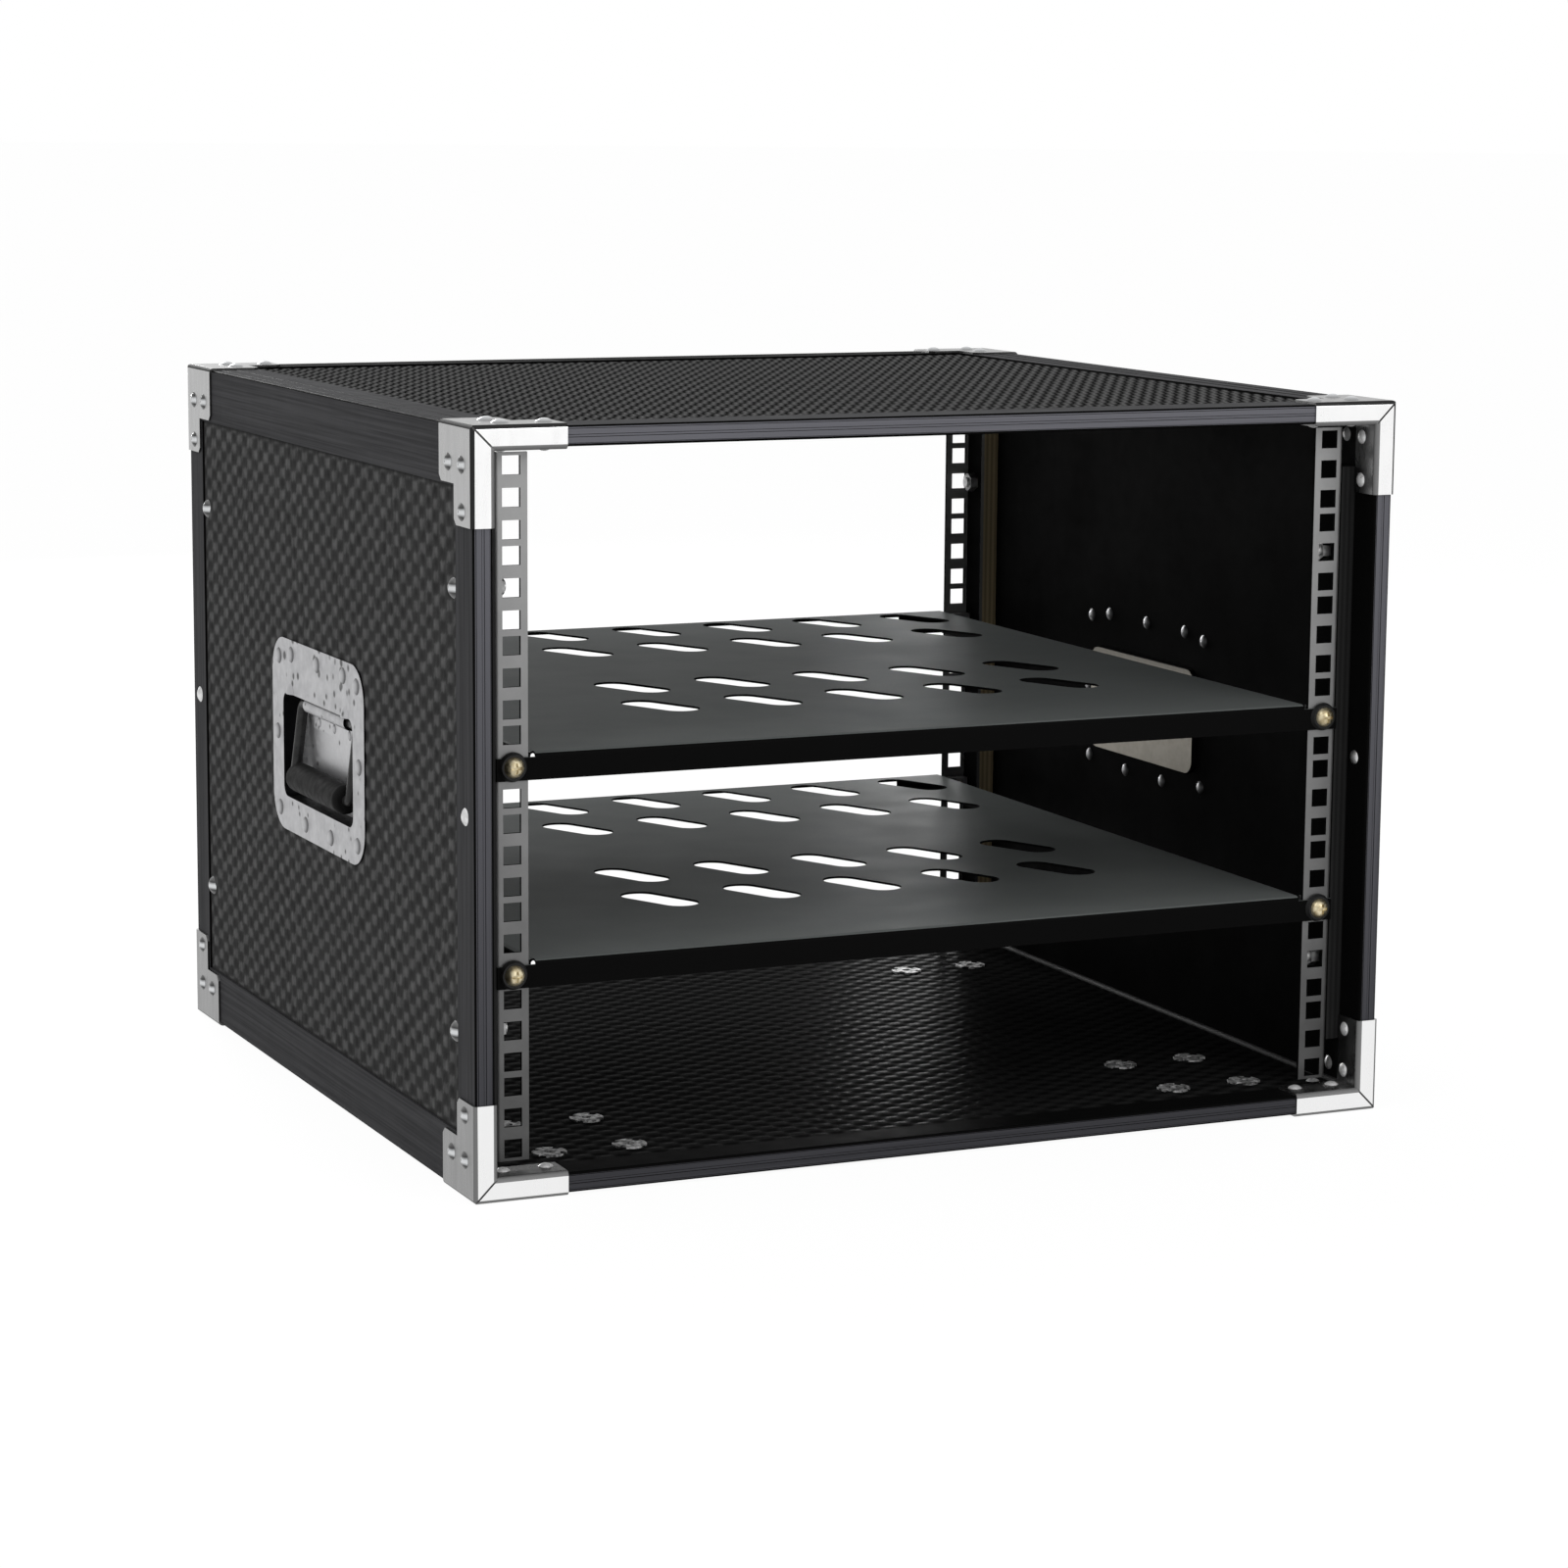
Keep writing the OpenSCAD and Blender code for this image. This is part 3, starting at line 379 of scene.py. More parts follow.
outer_laminate = pressed_laminate(
    "embossed_laminate", pit=grey(0.024), flank=grey(0.05), pad=grey(0.126), mottle=1.5,
    dull=0.65, smooth=0.5, gloss=0.004,
)
front_leg_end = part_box("edging_front_left")[1].y
rear_leg_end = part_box("edging_rear_left")[0].y
low_leg_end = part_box("angle_bottom_left")[1].z
high_leg_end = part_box("angle_top_left")[0].z
left_leg_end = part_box("angle_top_left")[1].x
right_leg_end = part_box("angle_top_right")[0].x
side_length = rear_leg_end - front_leg_end
side_height = high_leg_end - low_leg_end
top_width = right_leg_end - left_leg_end
plate_low, plate_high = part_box("left_handle_dish")
plate_lap = 6 * mm
plate_hole = (
    plate_low.y + plate_lap - front_leg_end,
    plate_low.z + plate_lap - low_leg_end,
    plate_high.y - plate_lap - front_leg_end,
    plate_high.z - plate_lap - low_leg_end,
)
hole_start, hole_foot, hole_end, hole_head = plate_hole
mirrored_hole = (side_length - hole_end, hole_foot, side_length - hole_start, hole_head)
embossed_skin(
    "left_skin", (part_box("left_panel")[0].x, rear_leg_end, low_leg_end), (0, -1, 0), (0, 0, 1),
    side_length, side_height, plain_pads, outer_laminate, [mirrored_hole],
)
embossed_skin(
    "right_skin", (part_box("right_panel")[1].x, front_leg_end, low_leg_end), (0, 1, 0), (0, 0, 1),
    side_length, side_height, plain_pads, outer_laminate, [plate_hole],
)
ribbed_laminate = pressed_laminate(
    "ribbed_laminate", pit=grey(0.0), flank=grey(0.045), pad=grey(0.13), mottle=0.05,
    dull=0.65, smooth=0.5, gloss=0.0001,
)
embossed_skin(
    "top_skin", (left_leg_end, front_leg_end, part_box("top_panel")[1].z), (1, 0, 0), (0, 1, 0),
    top_width, side_length, ribbed_pads, ribbed_laminate,
)
screw_room = 6 * mm
base_holes = []
for mount in frame["record"]["mounts"]:
    if mount["kind"] == "bolt_pattern":
        for side_x in (-0.5, 0.5):
            for side_y in (-0.5, 0.5):
                u = mount["pos_m"][0] + side_x * mount["dims"]["spacing_x_mm"] * mm - left_leg_end
                v = rear_leg_end - mount["pos_m"][1] - side_y * mount["dims"]["spacing_y_mm"] * mm
                base_holes.append((u - screw_room, v - screw_room, u + screw_room, v + screw_room))
embossed_skin(
    "base_skin", (left_leg_end, rear_leg_end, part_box("bottom_panel")[0].z), (1, 0, 0), (0, -1, 0),
    top_width, side_length, plain_pads, outer_laminate, base_holes,
)

# Floor of the case: the same pressed laminate with smoother pads, which mirror the light from the
# open rear as rows of short dashes, and a thin pale bead along each side wall.
floor_laminate = pressed_laminate(
    "floor_laminate", pit=grey(0.003), flank=grey(0.0115), pad=grey(0.02), mottle=0.8,
    dull=0.6, smooth=0.18, gloss=0.0007,
)
floor_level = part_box("bottom_panel")[1].z
wall_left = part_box("left_panel")[1].x
wall_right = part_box("right_panel")[0].x
floor_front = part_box("rail_front_left")[0].y
floor_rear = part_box("rail_rear_left")[1].y
embossed_skin(
    "floor_skin", (wall_left, floor_front, floor_level), (1, 0, 0), (0, 1, 0),
    wall_right - wall_left, floor_rear - floor_front, plain_pads, floor_laminate,
)

bead_radius = 2.5 * mm
bead_steps = 6
bead_finish = finish("seam_bead", gloss=0.06, rough=0.5)
bead_cloud = cloud(bead_finish, patch=12 * mm, stretch=(1, 0.1, 1))
paint(bead_finish, veined(bead_finish, bead_cloud, dark=grey(0.02), light=grey(0.035)))


def piece_from(name, mesh, look):
    """Turns a finished bmesh into a piece of the case."""
    bmesh.ops.recalc_face_normals(mesh, faces=mesh.faces)
    data = bpy.data.meshes.new(name)
    mesh.to_mesh(data)
    mesh.free()
    data.materials.append(look)
    ride_case(bpy.data.objects.new(name, data))


def bar(mesh, outline, shift):
    """Adds a closed bar to a bmesh: an outline of points, carried along a shift and capped."""
    near = [mesh.verts.new(point) for point in outline]
    far = [mesh.verts.new(point + shift) for point in outline]
    for i in range(len(outline)):
        j = (i + 1) % len(outline)
        mesh.faces.new((near[i], near[j], far[j], far[i]))
    mesh.faces.new(list(reversed(near)))
    mesh.faces.new(far)


for side, wall_x, to_middle in (("left", wall_left, 1), ("right", wall_right, -1)):
    bead = [Vector((wall_x, floor_front, floor_level))]
    for step in range(bead_steps + 1):
        angle = math.pi / 2 * step / bead_steps
        across = to_middle * bead_radius * math.cos(angle)
        up = bead_radius * math.sin(angle)
        bead.append(Vector((wall_x + across, floor_front, floor_level + up)))
    strip = bmesh.new()
    bar(strip, bead, Vector((0, floor_rear - floor_front, 0)))
    piece_from(f"floor_bead_{side}", strip, bead_finish)

# Edging and edge angles: dark anodised aluminium, channel over the panel edges of both openings and
# angle along the depth. Drawn lengthwise, with shallow ribs. Painted light and shade: lighter
# towards the head, darker on the flanges, near black at the bends, on the inside and on edges facing
# the middle. The flanges of the upper channel at the rear are painted nearly black as shade.
ceiling_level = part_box("top_panel")[0].z
edge_slack = 0.1 * mm
square_on = 0.97
half_turned = 0.5
clear_of_middle = 0.1
foot_at = 0.1
head_at = 0.9
foot_shade_tone = (0.05, 0.05, 0.056)
head_light_tone = (0.15, 0.15, 0.168)
# Flanges painted darker than the web as shade.
flange_tones = ((0.042, 0.042, 0.044), (0.066, 0.066, 0.069))
# The flanges of the upper channel at the rear are painted nearly black as shade.
rear_flange_shade_tones = (grey(0.008), grey(0.014))
shaded_tone = grey(0.004)
drawing_line = 1.2 * mm
line_share = 0.25


def blend(made, share_of_second, first, second):
    """Two colours mixed, each a fixed one or a pattern: share 0 shows the first, 1 the second."""
    tree = made.node_tree
    mix = tree.nodes.new("ShaderNodeMix")
    mix.data_type = "RGBA"
    tree.links.new(share_of_second, mix.inputs[0])
    for colour, socket in ((first, mix.inputs[6]), (second, mix.inputs[7])):
        if isinstance(colour, tuple):
            socket.default_value = (*colour, 1)
        else:
            tree.links.new(colour, socket)
    return mix.outputs[2]


def parts_of(made, source, output):
    """The X, Y and Z of what a node gives out."""
    tree = made.node_tree
    split = tree.nodes.new("ShaderNodeSeparateXYZ")
    tree.links.new(tree.nodes.new(source).outputs[output], split.inputs["Vector"])
    return split.outputs["X"], split.outputs["Y"], split.outputs["Z"]


def place_of(made):
    """Where a point of the surface lies in the frame: its X, Y and Z in metres."""
    return parts_of(made, "ShaderNodeTexCoord", "Object")


def facing(made):
    """Which way a surface faces: the X, Y and Z of its normal."""
    return parts_of(made, "ShaderNodeNewGeometry", "Normal")


def bent(made):
    """1 on bends and chamfers, 0 on faces square to the case."""
    x, y, z = (work_out(made, "ABSOLUTE", part) for part in facing(made))
    square = work_out(made, "MAXIMUM", work_out(made, "MAXIMUM", x, y), z)
    return work_out(made, "LESS_THAN", square, square_on)


def inside_case(made):
    """1 on surfaces within the inner walls of the case, else 0."""
    x, _, z = place_of(made)
    within_x = work_out(made, "LESS_THAN", work_out(made, "ABSOLUTE", x), wall_right + edge_slack)
    above_floor = work_out(made, "GREATER_THAN", z, floor_level - edge_slack)
    below_ceiling = work_out(made, "LESS_THAN", z, ceiling_level + edge_slack)
    within_z = work_out(made, "MULTIPLY", above_floor, below_ceiling)
    return work_out(made, "MULTIPLY", within_x, within_z)


def faces_middle(made):
    """1 on the edges of a profile that face the middle of the case, else 0."""
    x, y, _ = place_of(made)
    x_face, y_face, _ = facing(made)
    sideways = work_out(made, "MULTIPLY", x, x_face)
    endways = work_out(made, "MULTIPLY", y, y_face)
    return work_out(made, "LESS_THAN", work_out(made, "ADD", sideways, endways), -clear_of_middle)


def painted_light_climb(made, pattern, share_of_pattern, foot, head):
    """A colour painted darker at the foot of the case and lighter at its head as light and shade,
    broken up by a share of a pattern.
    """
    climb = work_out(made, "MULTIPLY", place_of(made)[2], (1 - share_of_pattern) / case_high.z)
    broken = work_out(made, "ADD", climb, work_out(made, "MULTIPLY", pattern, share_of_pattern))
    return ramp(made, broken, (foot_at, foot), (head_at, head))


def anodised(name, streak, flanges=flange_tones):
    """Dark anodised aluminium with drawing streaks along the axis where streak is small."""
    made = finish(name, gloss=0.0005, metal=0.08)
    lines = cloud(made, drawing_line, streak, detail=2)
    # Painted light and shade: the web lighter towards the head, the flanges darker, and bends,
    # inside faces and edges facing the middle near black.
    web = painted_light_climb(made, lines, line_share, foot_shade_tone, head_light_tone)
    on_flange = work_out(made, "LESS_THAN", work_out(made, "ABSOLUTE", facing(made)[1]), half_turned)
    tone = blend(made, on_flange, web, veined(made, lines, *flanges))
    hidden = work_out(made, "MAXIMUM", faces_middle(made), inside_case(made))
    shaded = work_out(made, "MAXIMUM", bent(made), hidden)
    paint(made, blend(made, shaded, tone, shaded_tone))
    sheen(made, cloud(made, patch=14 * mm), smooth=0.38, dull=0.48)
    relief(made, lines, depth=0.02 * mm, strength=0.4)
    return made


drawn_upright = anodised("anodised_upright", streak=(1, 1, 0.01))
drawn_across = anodised("anodised_across", streak=(0.01, 1, 1))
drawn_along = anodised("anodised_along", streak=(1, 0.01, 1))
rear_flange_shade_across = anodised("anodised_dark_flanges", streak=(0.01, 1, 1), flanges=rear_flange_shade_tones)
for opening in ("front", "rear"):
    dress(drawn_upright, f"edging_{opening}_left", f"edging_{opening}_right")
    dress(drawn_across, f"edging_{opening}_bottom")
dress(drawn_across, "edging_front_top")
dress(rear_flange_shade_across, "edging_rear_top")
for level in ("top", "bottom"):
    dress(drawn_along, f"angle_{level}_left", f"angle_{level}_right")

rib_rise = 0.2 * mm
rib_outline = ((-0.5, 0), (-0.42, 1), (0.42, 1), (0.5, 0))
channel_rows = {"margin": 3.1 * mm, "pitch": 4.2 * mm, "width": 3.2 * mm}
angle_rows = {"margin": 8.5 * mm, "pitch": 9 * mm, "width": 7 * mm}


def edge_ribs(name, corner, along, face_out, side_out, rows, drawn):
    """Two flat ribs with sloped flanks on one face of a profile, in rows from its outer corner."""
    mesh = bmesh.new()
    for number in range(2):
        middle = Vector(corner) - Vector(side_out) * (rows["margin"] + number * rows["pitch"])
        outline = [
            middle + Vector(side_out) * share * rows["width"] + Vector(face_out) * height * rib_rise
            for share, height in rib_outline
        ]
        bar(mesh, outline, Vector(along))
    piece_from(name, mesh, drawn)


for opening, face_out in (("front", -1), ("rear", 1)):
    for side, side_out in (("left", -1), ("right", 1)):
        low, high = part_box(f"edging_{opening}_{side}")
        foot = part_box(f"corner_{opening}_bottom_{side}")[1].z
        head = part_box(f"corner_{opening}_top_{side}")[0].z
        outer = (low.x if side_out < 0 else high.x, low.y if face_out < 0 else high.y, foot)
        edge_ribs(
            f"ribs_{opening}_{side}", outer, (0, 0, head - foot), (0, face_out, 0),
            (side_out, 0, 0), channel_rows, drawn_upright,
        )
    for level, level_out in (("top", 1), ("bottom", -1)):
        low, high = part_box(f"edging_{opening}_{level}")
        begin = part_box(f"corner_{opening}_{level}_left")[1].x
        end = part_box(f"corner_{opening}_{level}_right")[0].x
        outer = (begin, low.y if face_out < 0 else high.y, low.z if level_out < 0 else high.z)
        edge_ribs(
            f"ribs_{opening}_{level}", outer, (end - begin, 0, 0), (0, face_out, 0),
            (0, 0, level_out), channel_rows, drawn_across,
        )
for level, level_out in (("top", 1), ("bottom", -1)):
    for side, side_out in (("left", -1), ("right", 1)):
        low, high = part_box(f"angle_{level}_{side}")
        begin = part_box(f"corner_front_{level}_{side}")[1].y
        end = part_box(f"corner_rear_{level}_{side}")[0].y
        outer = (low.x if side_out < 0 else high.x, begin, low.z if level_out < 0 else high.z)
        edge_ribs(
            f"ribs_{level}_{side}_angle", outer, (0, end - begin, 0), (0, 0, level_out),
            (side_out, 0, 0), angle_rows, drawn_along,
        )

# Corner fittings: three-way pressings of plated steel, mitred on the face of the opening and riveted
# through the edging. Painted light and shade: the faces of the openings bright, the sides, the level
# faces and the insides darker, the bends in a tone of their own and rough. The upper and lower
# fittings are lit and shaded copies.
seam_slack = 0.3 * mm
inner_shade_plating = grey(0.2)
level_shade_plating = grey(0.2)
seam_tone = grey(0.08)
faces_opening = 0.9
brushed_share = 0.2
bend_roughness = 0.7


def corner_plating(name, lit_face_tone, shaded_side_tone, bend_shade_tone):
    """Plating with its faces to the front and rear painted bright as light, its other faces painted
    as shade, and a dark seam along the mitre.
    """
    made = finish(name, metal=1.0)
    brushed = cloud(made, patch=0.8 * mm, stretch=(1, 1, 0.03), detail=2)
    to_opening = work_out(made, "ABSOLUTE", facing(made)[1])
    lit_facing_and_brush = work_out(made, "ADD", to_opening, work_out(made, "MULTIPLY", brushed, brushed_share))
    # Painted light and shade: faces to the openings bright, sides darker, level faces, bends and
    # insides in tones of their own.
    standing = ramp(made, lit_facing_and_brush, (0.0, shaded_side_tone), (1.0, lit_face_tone))
    lying = work_out(made, "GREATER_THAN", work_out(made, "ABSOLUTE", facing(made)[2]), square_on)
    bends = bent(made)
    tone = blend(made, bends, blend(made, lying, standing, level_shade_plating), bend_shade_tone)
    depth = work_out(made, "ABSOLUTE", place_of(made)[1])
    below = work_out(made, "LESS_THAN", depth, case_high.y - seam_slack)
    on_face = work_out(made, "GREATER_THAN", to_opening, faces_opening)
    seamed = blend(made, work_out(made, "MULTIPLY", below, on_face), tone, seam_tone)
    paint(made, blend(made, inside_case(made), seamed, inner_shade_plating))
    polish = graded(made, cloud(made, patch=5 * mm, stretch=(1, 1, 0.2)), 0.24, 0.34)
    rough_bends = work_out(made, "MULTIPLY", bends, bend_roughness)
    feed(made, "Roughness", work_out(made, "MAXIMUM", polish, rough_bends))
    relief(made, cloud(made, patch=6 * mm, detail=1), depth=0.03 * mm, strength=0.3)
    return made


# The upper and lower fittings are painted as lit and shaded copies.
top_plating = corner_plating(
    "corner_plating_top", lit_face_tone=grey(0.9), shaded_side_tone=grey(0.34), bend_shade_tone=grey(0.03)
)
bottom_plating = corner_plating(
    "corner_plating_bottom", lit_face_tone=grey(0.85), shaded_side_tone=grey(0.16), bend_shade_tone=grey(0.2)
)
for opening in ("front", "rear"):
    for side in ("left", "right"):
        dress(top_plating, f"corner_{opening}_top_{side}")
        dress(bottom_plating, f"corner_{opening}_bottom_{side}")

# Rivets and rail bolts: zinc, domed outside and set flat inside. The upper and lower slopes of the
# domes are painted dark as shade, and the inner ends painted pale and less metallic as a highlight.
bright_zinc = (0.62, 0.63, 0.64)
slope_shade_zinc = grey(0.05)
half_slope_shade_zinc = grey(0.16)
inner_highlight_zinc = grey(0.8)
inner_dulling = 0.6
rivet_zinc = finish("rivet_zinc")
slope = work_out(rivet_zinc, "ABSOLUTE", facing(rivet_zinc)[2])
# Painted shade: dark bands on the upper and lower slopes of each dome.
shaded_slopes = ramp(rivet_zinc, slope, (0.1, bright_zinc), (0.96, bright_zinc),
                   (0.34, slope_shade_zinc), (0.7, half_slope_shade_zinc))
inner_end = inside_case(rivet_zinc)
# Painted highlight: the inner ends pale, and less metallic so that they catch the light.
paint(rivet_zinc, blend(rivet_zinc, inner_end, shaded_slopes, inner_highlight_zinc))
dulled = work_out(rivet_zinc, "MULTIPLY", inner_end, -inner_dulling)
feed(rivet_zinc, "Metallic", work_out(rivet_zinc, "ADD", dulled, 1.0))
sheen(rivet_zinc, cloud(rivet_zinc, patch=2 * mm), smooth=0.24, dull=0.42)
relief(rivet_zinc, cloud(rivet_zinc, patch=1.5 * mm), depth=0.05 * mm, strength=0.4)
dress(rivet_zinc, "corner_rivets", "base_rivets", "rail_bolts")

# Rack rails: folded zinc strip with punched square holes, bolted to the walls over plywood spacers.
# Grey and satin, painted darker towards the foot as shade, with flanges painted near black and not
# metallic as shade in the gap behind the face.
rail_foot_shade = grey(0.074)
rail_head_light = grey(0.35)
rail_flange_shade = grey(0.006)
rail_metal = 0.7
spangle_share = 0.2
rail_zinc = finish("rail_zinc", gloss=0.0005)
spangle = cloud(rail_zinc, patch=18 * mm)
rail_face = painted_light_climb(rail_zinc, spangle, spangle_share, rail_foot_shade, rail_head_light)
rail_frontal = work_out(rail_zinc, "ABSOLUTE", facing(rail_zinc)[1])
front_facing = work_out(rail_zinc, "GREATER_THAN", rail_frontal, half_turned)
# Painted shade: the flanges near black and the face darker towards the foot.
paint(rail_zinc, blend(rail_zinc, front_facing, rail_flange_shade, rail_face))
feed(rail_zinc, "Metallic", work_out(rail_zinc, "MULTIPLY", front_facing, rail_metal))
sheen(rail_zinc, cloud(rail_zinc, patch=6 * mm), smooth=0.4, dull=0.54)
relief(rail_zinc, cloud(rail_zinc, patch=1.5 * mm), depth=0.03 * mm, strength=0.5)
for opening in ("front", "rear"):
    dress(rail_zinc, f"rail_{opening}_left", f"rail_{opening}_right")

# Spacers: plywood strips under the rails. Their faces are stained black; the cut edges of the rear
# pair are bare and show the plies, those of the front pair are stained as well.
ply_thickness = 1.6 * mm
stained_face = grey(0.006)


def plywood(name, dark_ply, light_ply):
    """Plywood with plies across X on the edges that look along Y, stained on the other faces."""
    made = finish(name, gloss=0.1, rough=0.7)
    layers = work_out(made, "DIVIDE", place_of(made)[0], ply_thickness)
    plies = work_out(made, "PINGPONG", layers, 1.0)
    endwise = work_out(made, "ABSOLUTE", facing(made)[1])
    cut_edge = work_out(made, "GREATER_THAN", endwise, half_turned)
    paint(made, blend(made, cut_edge, stained_face, veined(made, plies, dark_ply, light_ply)))
    relief(made, cloud(made, patch=2 * mm, stretch=(1, 1, 0.05)), depth=0.1 * mm, strength=0.5)
    return made


bare_ply = plywood("bare_ply", dark_ply=(0.28, 0.22, 0.13), light_ply=(0.42, 0.34, 0.2))
stained_ply = plywood("stained_ply", dark_ply=grey(0.01), light_ply=grey(0.018))
dress(bare_ply, "spacer_rear_left", "spacer_rear_right")
dress(stained_ply, "spacer_front_left", "spacer_front_right")

# Nuts and small rivets: zinc hexagon nuts on the rail bolts, cage nuts behind the rails, tee nuts in
# the floor and the rivets halfway up the edging. Duller than the corner rivets, and cloudy.


def dull_zinc(name, dark, light, patch, smooth=0.3, dull=0.5, metal=1.0):
    """Dull zinc in cloudy patches, with a slightly wavy surface."""
    made = finish(name, gloss=0.2, metal=metal)
    paint(made, veined(made, cloud(made, patch), dark, light))
    sheen(made, cloud(made, patch / 3), smooth, dull)
    relief(made, cloud(made, patch=2 * mm, detail=2), depth=0.05 * mm, strength=0.4)
    return made


nut_zinc = dull_zinc("nut_zinc", dark=grey(0.18), light=grey(0.4), patch=5 * mm)
# The tee nuts' strong pale patches are painted glints.
tee_nut_glint_zinc = dull_zinc(
    "tee_nut_glint_zinc", dark=grey(0.08), light=grey(0.7), patch=2.5 * mm, smooth=0.5, dull=0.68
)
pale_zinc = dull_zinc("pale_zinc", dark=grey(0.5), light=grey(0.75), patch=4 * mm)
dress(nut_zinc, "rail_nuts", "cage_nuts")
dress(tee_nut_glint_zinc, "caster_tee_nuts")
dress(pale_zinc, "edging_rivets")

# Shelves: folded sheet steel with vent slots, powder coated. The decks are dark grey with a fine
# even grain, and the folded lips and the undersides are painted near black as shade.
deck_dark = (0.115, 0.124, 0.122)
deck_light = (0.131, 0.141, 0.138)
lip_shade_tone = grey(0.004)
deck_lie = 0.7
shelf_coat = finish("shelf_coat", gloss=0.012)
deck_up = work_out(shelf_coat, "GREATER_THAN", facing(shelf_coat)[2], deck_lie)
speckle = cloud(shelf_coat, patch=0.8 * mm)
deck_grain = ramp(shelf_coat, speckle, (noise_low, deck_dark), (noise_high, deck_light))
# Painted shade: every face but the decks near black.
paint(shelf_coat, blend(shelf_coat, deck_up, lip_shade_tone, deck_grain))
sheen(shelf_coat, cloud(shelf_coat, patch=30 * mm), smooth=0.48, dull=0.56)
relief(shelf_coat, speckle, depth=0.02 * mm, strength=0.6)
dress(shelf_coat, "upper_shelf", "lower_shelf")

# Shelf fixings: yellow zinc pan-head screws on black nylon cup washers, driven into cage nuts.
# The zinc is cloudy and the nylon is lightly grained.
yellow_zinc = dull_zinc(
    "yellow_zinc", dark=(0.4, 0.33, 0.2), light=(0.72, 0.64, 0.45), patch=3 * mm
)
nylon = finish("black_nylon", gloss=0.2, rough=0.45)
nylon_cloud = cloud(nylon, patch=4 * mm)
paint(nylon, veined(nylon, nylon_cloud, dark=grey(0.006), light=grey(0.014)))
relief(nylon, cloud(nylon, patch=0.8 * mm), depth=0.03 * mm, strength=0.5)
dress(yellow_zinc, "shelf_screws")
dress(nylon, "cup_washers")

# Handle dishes and retainers: pressed zinc-plated steel, let into the sides and riveted. The plating
# is cloudy, with dark spots along the upper flange. The dish's walls are painted dark as shade, its
# back seen from the inside is yellowed and painted darker as shade, and its deep outer face is
# painted lighter as light.
plate_metal = 0.85
plate_tone = (0.38, 0.38, 0.39)
plate_light = (0.46, 0.46, 0.47)
dish_wall_shade = (0.006, 0.006, 0.007)
dish_back_shade_and_yellowing = (0.3, 0.28, 0.24)
dish_face_light = (0.52, 0.52, 0.53)
dish_turn = 0.6
spot_and_slope_shade_tone = grey(0.06)
spot_pitch = 9 * mm
spot_size = 0.2
spot_growth = 6.0
spot_edge = 8.0
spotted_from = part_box("left_handle_bail")[1].z
plate_flat = 0.9


def spots(made, pitch):
    """Distance from the middles of scattered round spots, in shares of their pitch."""
    tree = made.node_tree
    place = tree.nodes.new("ShaderNodeTexCoord")
    cells = tree.nodes.new("ShaderNodeTexVoronoi")
    cells.inputs["Scale"].default_value = 1 / pitch
    tree.links.new(place.outputs["Object"], cells.inputs["Vector"])
    return cells.outputs["Distance"]


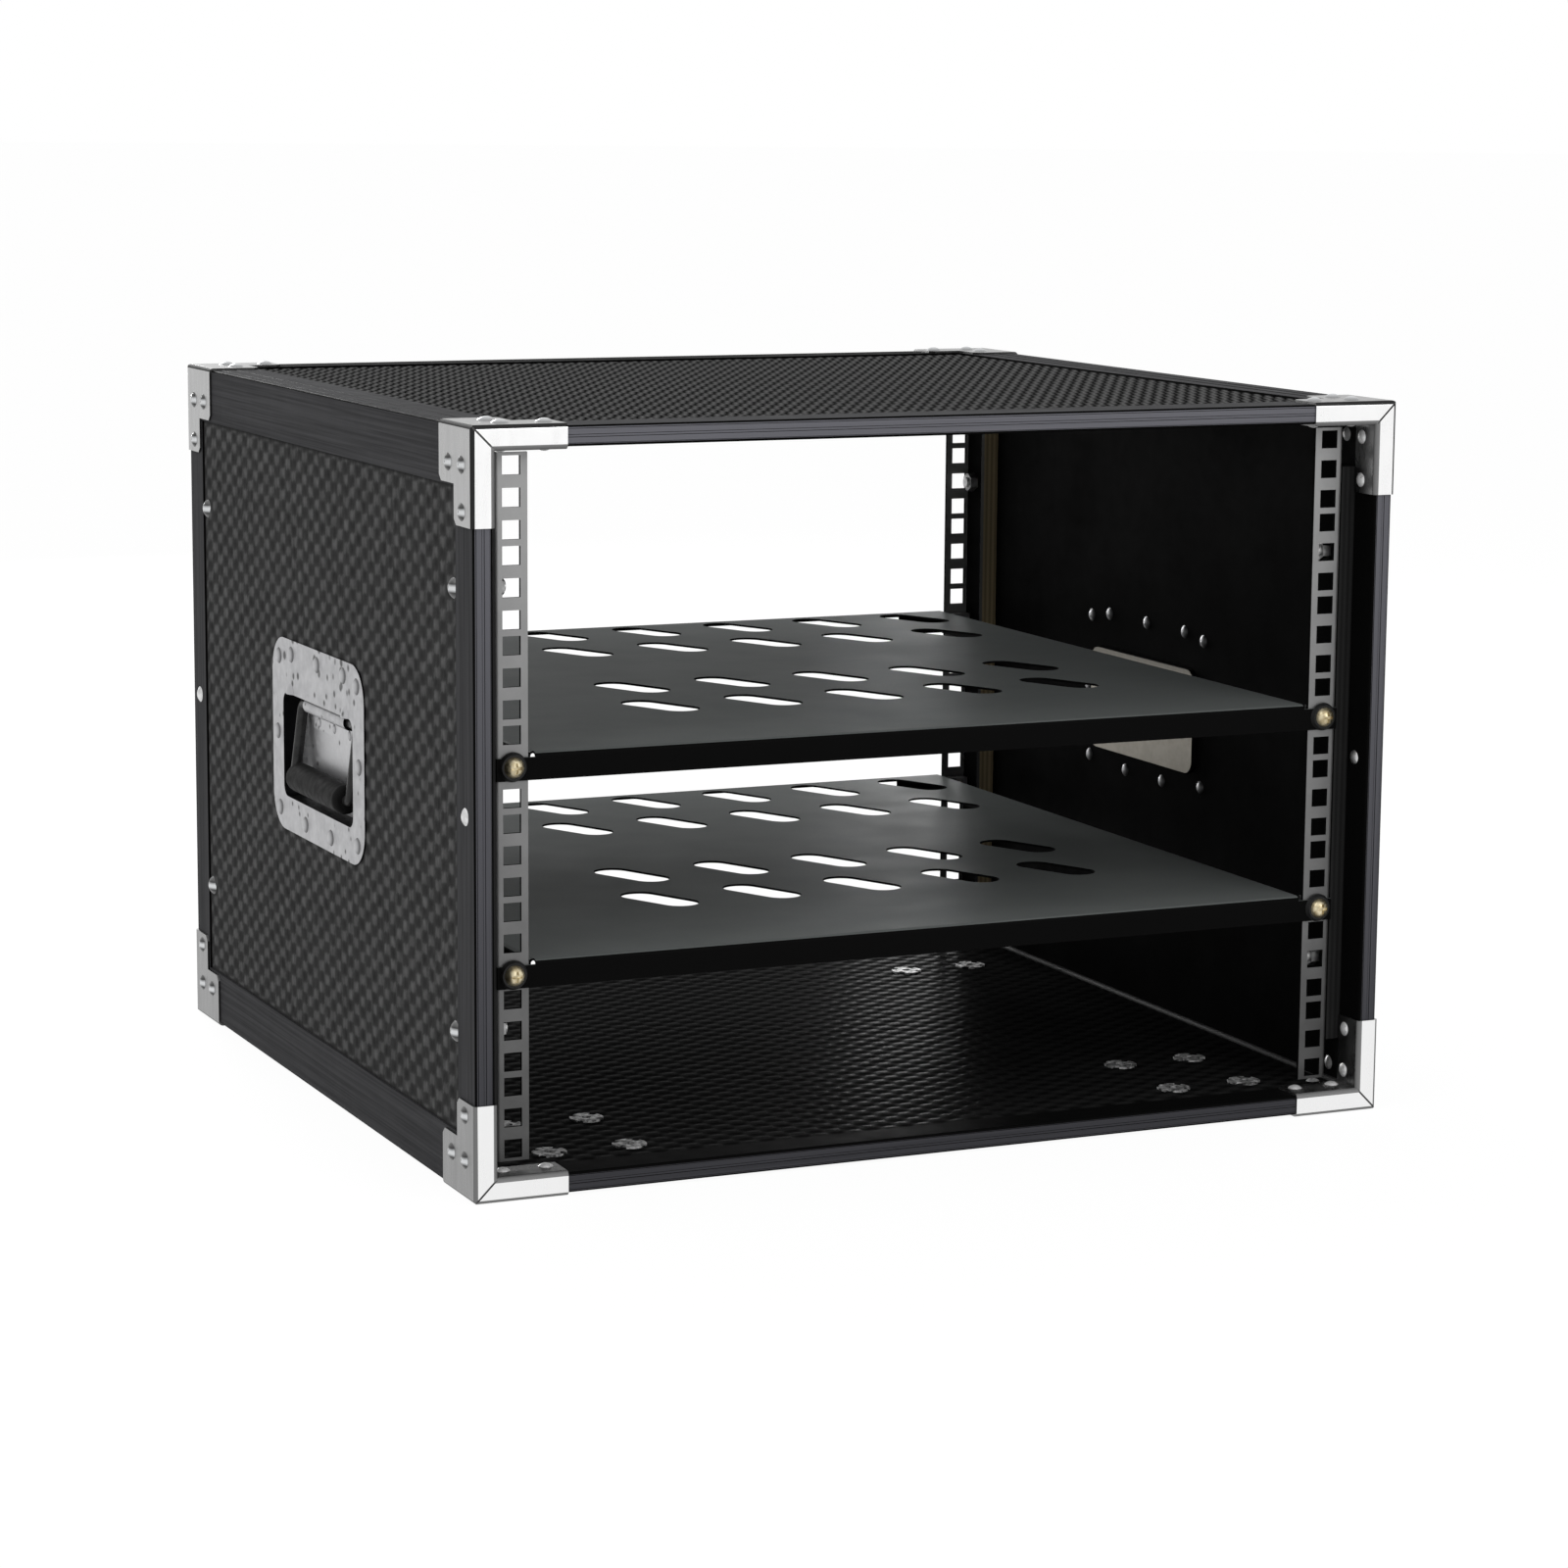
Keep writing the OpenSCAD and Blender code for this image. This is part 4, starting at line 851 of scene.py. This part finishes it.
def dish_plating(name, outward):
    """Zinc plating of a dish whose flange faces along X in the outward direction."""
    made = finish(name, metal=plate_metal)
    out = work_out(made, "MULTIPLY", facing(made)[0], outward)
    toned = veined(made, cloud(made, patch=9 * mm), plate_tone, plate_light)
    # Painted shade on the walls and on the back seen from inside, painted light on the deep outer
    # face.
    walled = blend(made, work_out(made, "LESS_THAN", out, dish_turn), toned, dish_wall_shade)
    backed = blend(made, work_out(made, "LESS_THAN", out, -dish_turn), walled, dish_back_shade_and_yellowing)
    sunk = work_out(made, "LESS_THAN", work_out(made, "ABSOLUTE", place_of(made)[0]), wall_right)
    lit_inner_face = work_out(made, "MULTIPLY", sunk, work_out(made, "GREATER_THAN", out, dish_turn))
    faced = blend(made, lit_inner_face, backed, dish_face_light)
    # Dark spots scattered along the upper flange, larger higher up.
    high_up = work_out(made, "SUBTRACT", place_of(made)[2], spotted_from)
    spot_spread = work_out(made, "MULTIPLY", work_out(made, "MAXIMUM", high_up, 0.0), spot_growth)
    reach = work_out(made, "ADD", spot_spread, spot_size)
    bite = work_out(made, "SUBTRACT", reach, spots(made, spot_pitch))
    depth = work_out(made, "MAXIMUM", work_out(made, "MULTIPLY", bite, spot_edge), 0.0)
    dark_spots = work_out(made, "MINIMUM", depth, work_out(made, "GREATER_THAN", out, plate_flat))
    paint(made, blend(made, dark_spots, faced, spot_and_slope_shade_tone))
    sheen(made, cloud(made, patch=3 * mm), smooth=0.34, dull=0.5)
    relief(made, cloud(made, patch=2.5 * mm), depth=0.05 * mm, strength=0.4)
    return made


plate_rivet_zinc = finish("plate_rivet_zinc", metal=plate_metal)
plate_slope = work_out(plate_rivet_zinc, "ABSOLUTE", facing(plate_rivet_zinc)[0])
# Painted shade: the slopes of the rivet domes dark, their crowns light.
paint(plate_rivet_zinc, ramp(plate_rivet_zinc, plate_slope, (0.4, spot_and_slope_shade_tone), (0.97, plate_light),
                             (0.75, spot_and_slope_shade_tone), (0.9, plate_tone)))
sheen(plate_rivet_zinc, cloud(plate_rivet_zinc, patch=2 * mm), smooth=0.34, dull=0.5)
relief(plate_rivet_zinc, cloud(plate_rivet_zinc, patch=1.5 * mm), depth=0.05 * mm, strength=0.4)
for side, outward in (("left", -1.0), ("right", 1.0)):
    dish_zinc = dish_plating(f"{side}_dish_zinc", outward)
    dress(dish_zinc, f"{side}_handle_dish", f"{side}_handle_retainer")
    dress(plate_rivet_zinc, f"{side}_handle_rivets")

# Handle loops: bent zinc rod, painted near black as shade, with a sleeve of black rubber on its
# lower bar. They swing on the rod's upper bar, held by the retainers.
rod_shade_zinc = dull_zinc(
    "rod_shade_zinc", dark=grey(0.02), light=grey(0.035), patch=8 * mm, smooth=0.25, dull=0.35, metal=0.2
)
rubber = finish("grip_rubber", gloss=0.08)
rubber_cloud = cloud(rubber, patch=6 * mm)
paint(rubber, veined(rubber, rubber_cloud, dark=grey(0.005), light=grey(0.009)))
sheen(rubber, cloud(rubber, patch=4 * mm), smooth=0.5, dull=0.68)
relief(rubber, cloud(rubber, patch=0.9 * mm), depth=0.05 * mm, strength=0.6)
for side in ("left", "right"):
    dress(rod_shade_zinc, f"{side}_handle_bail")
    dress(rubber, f"{side}_handle_grip")
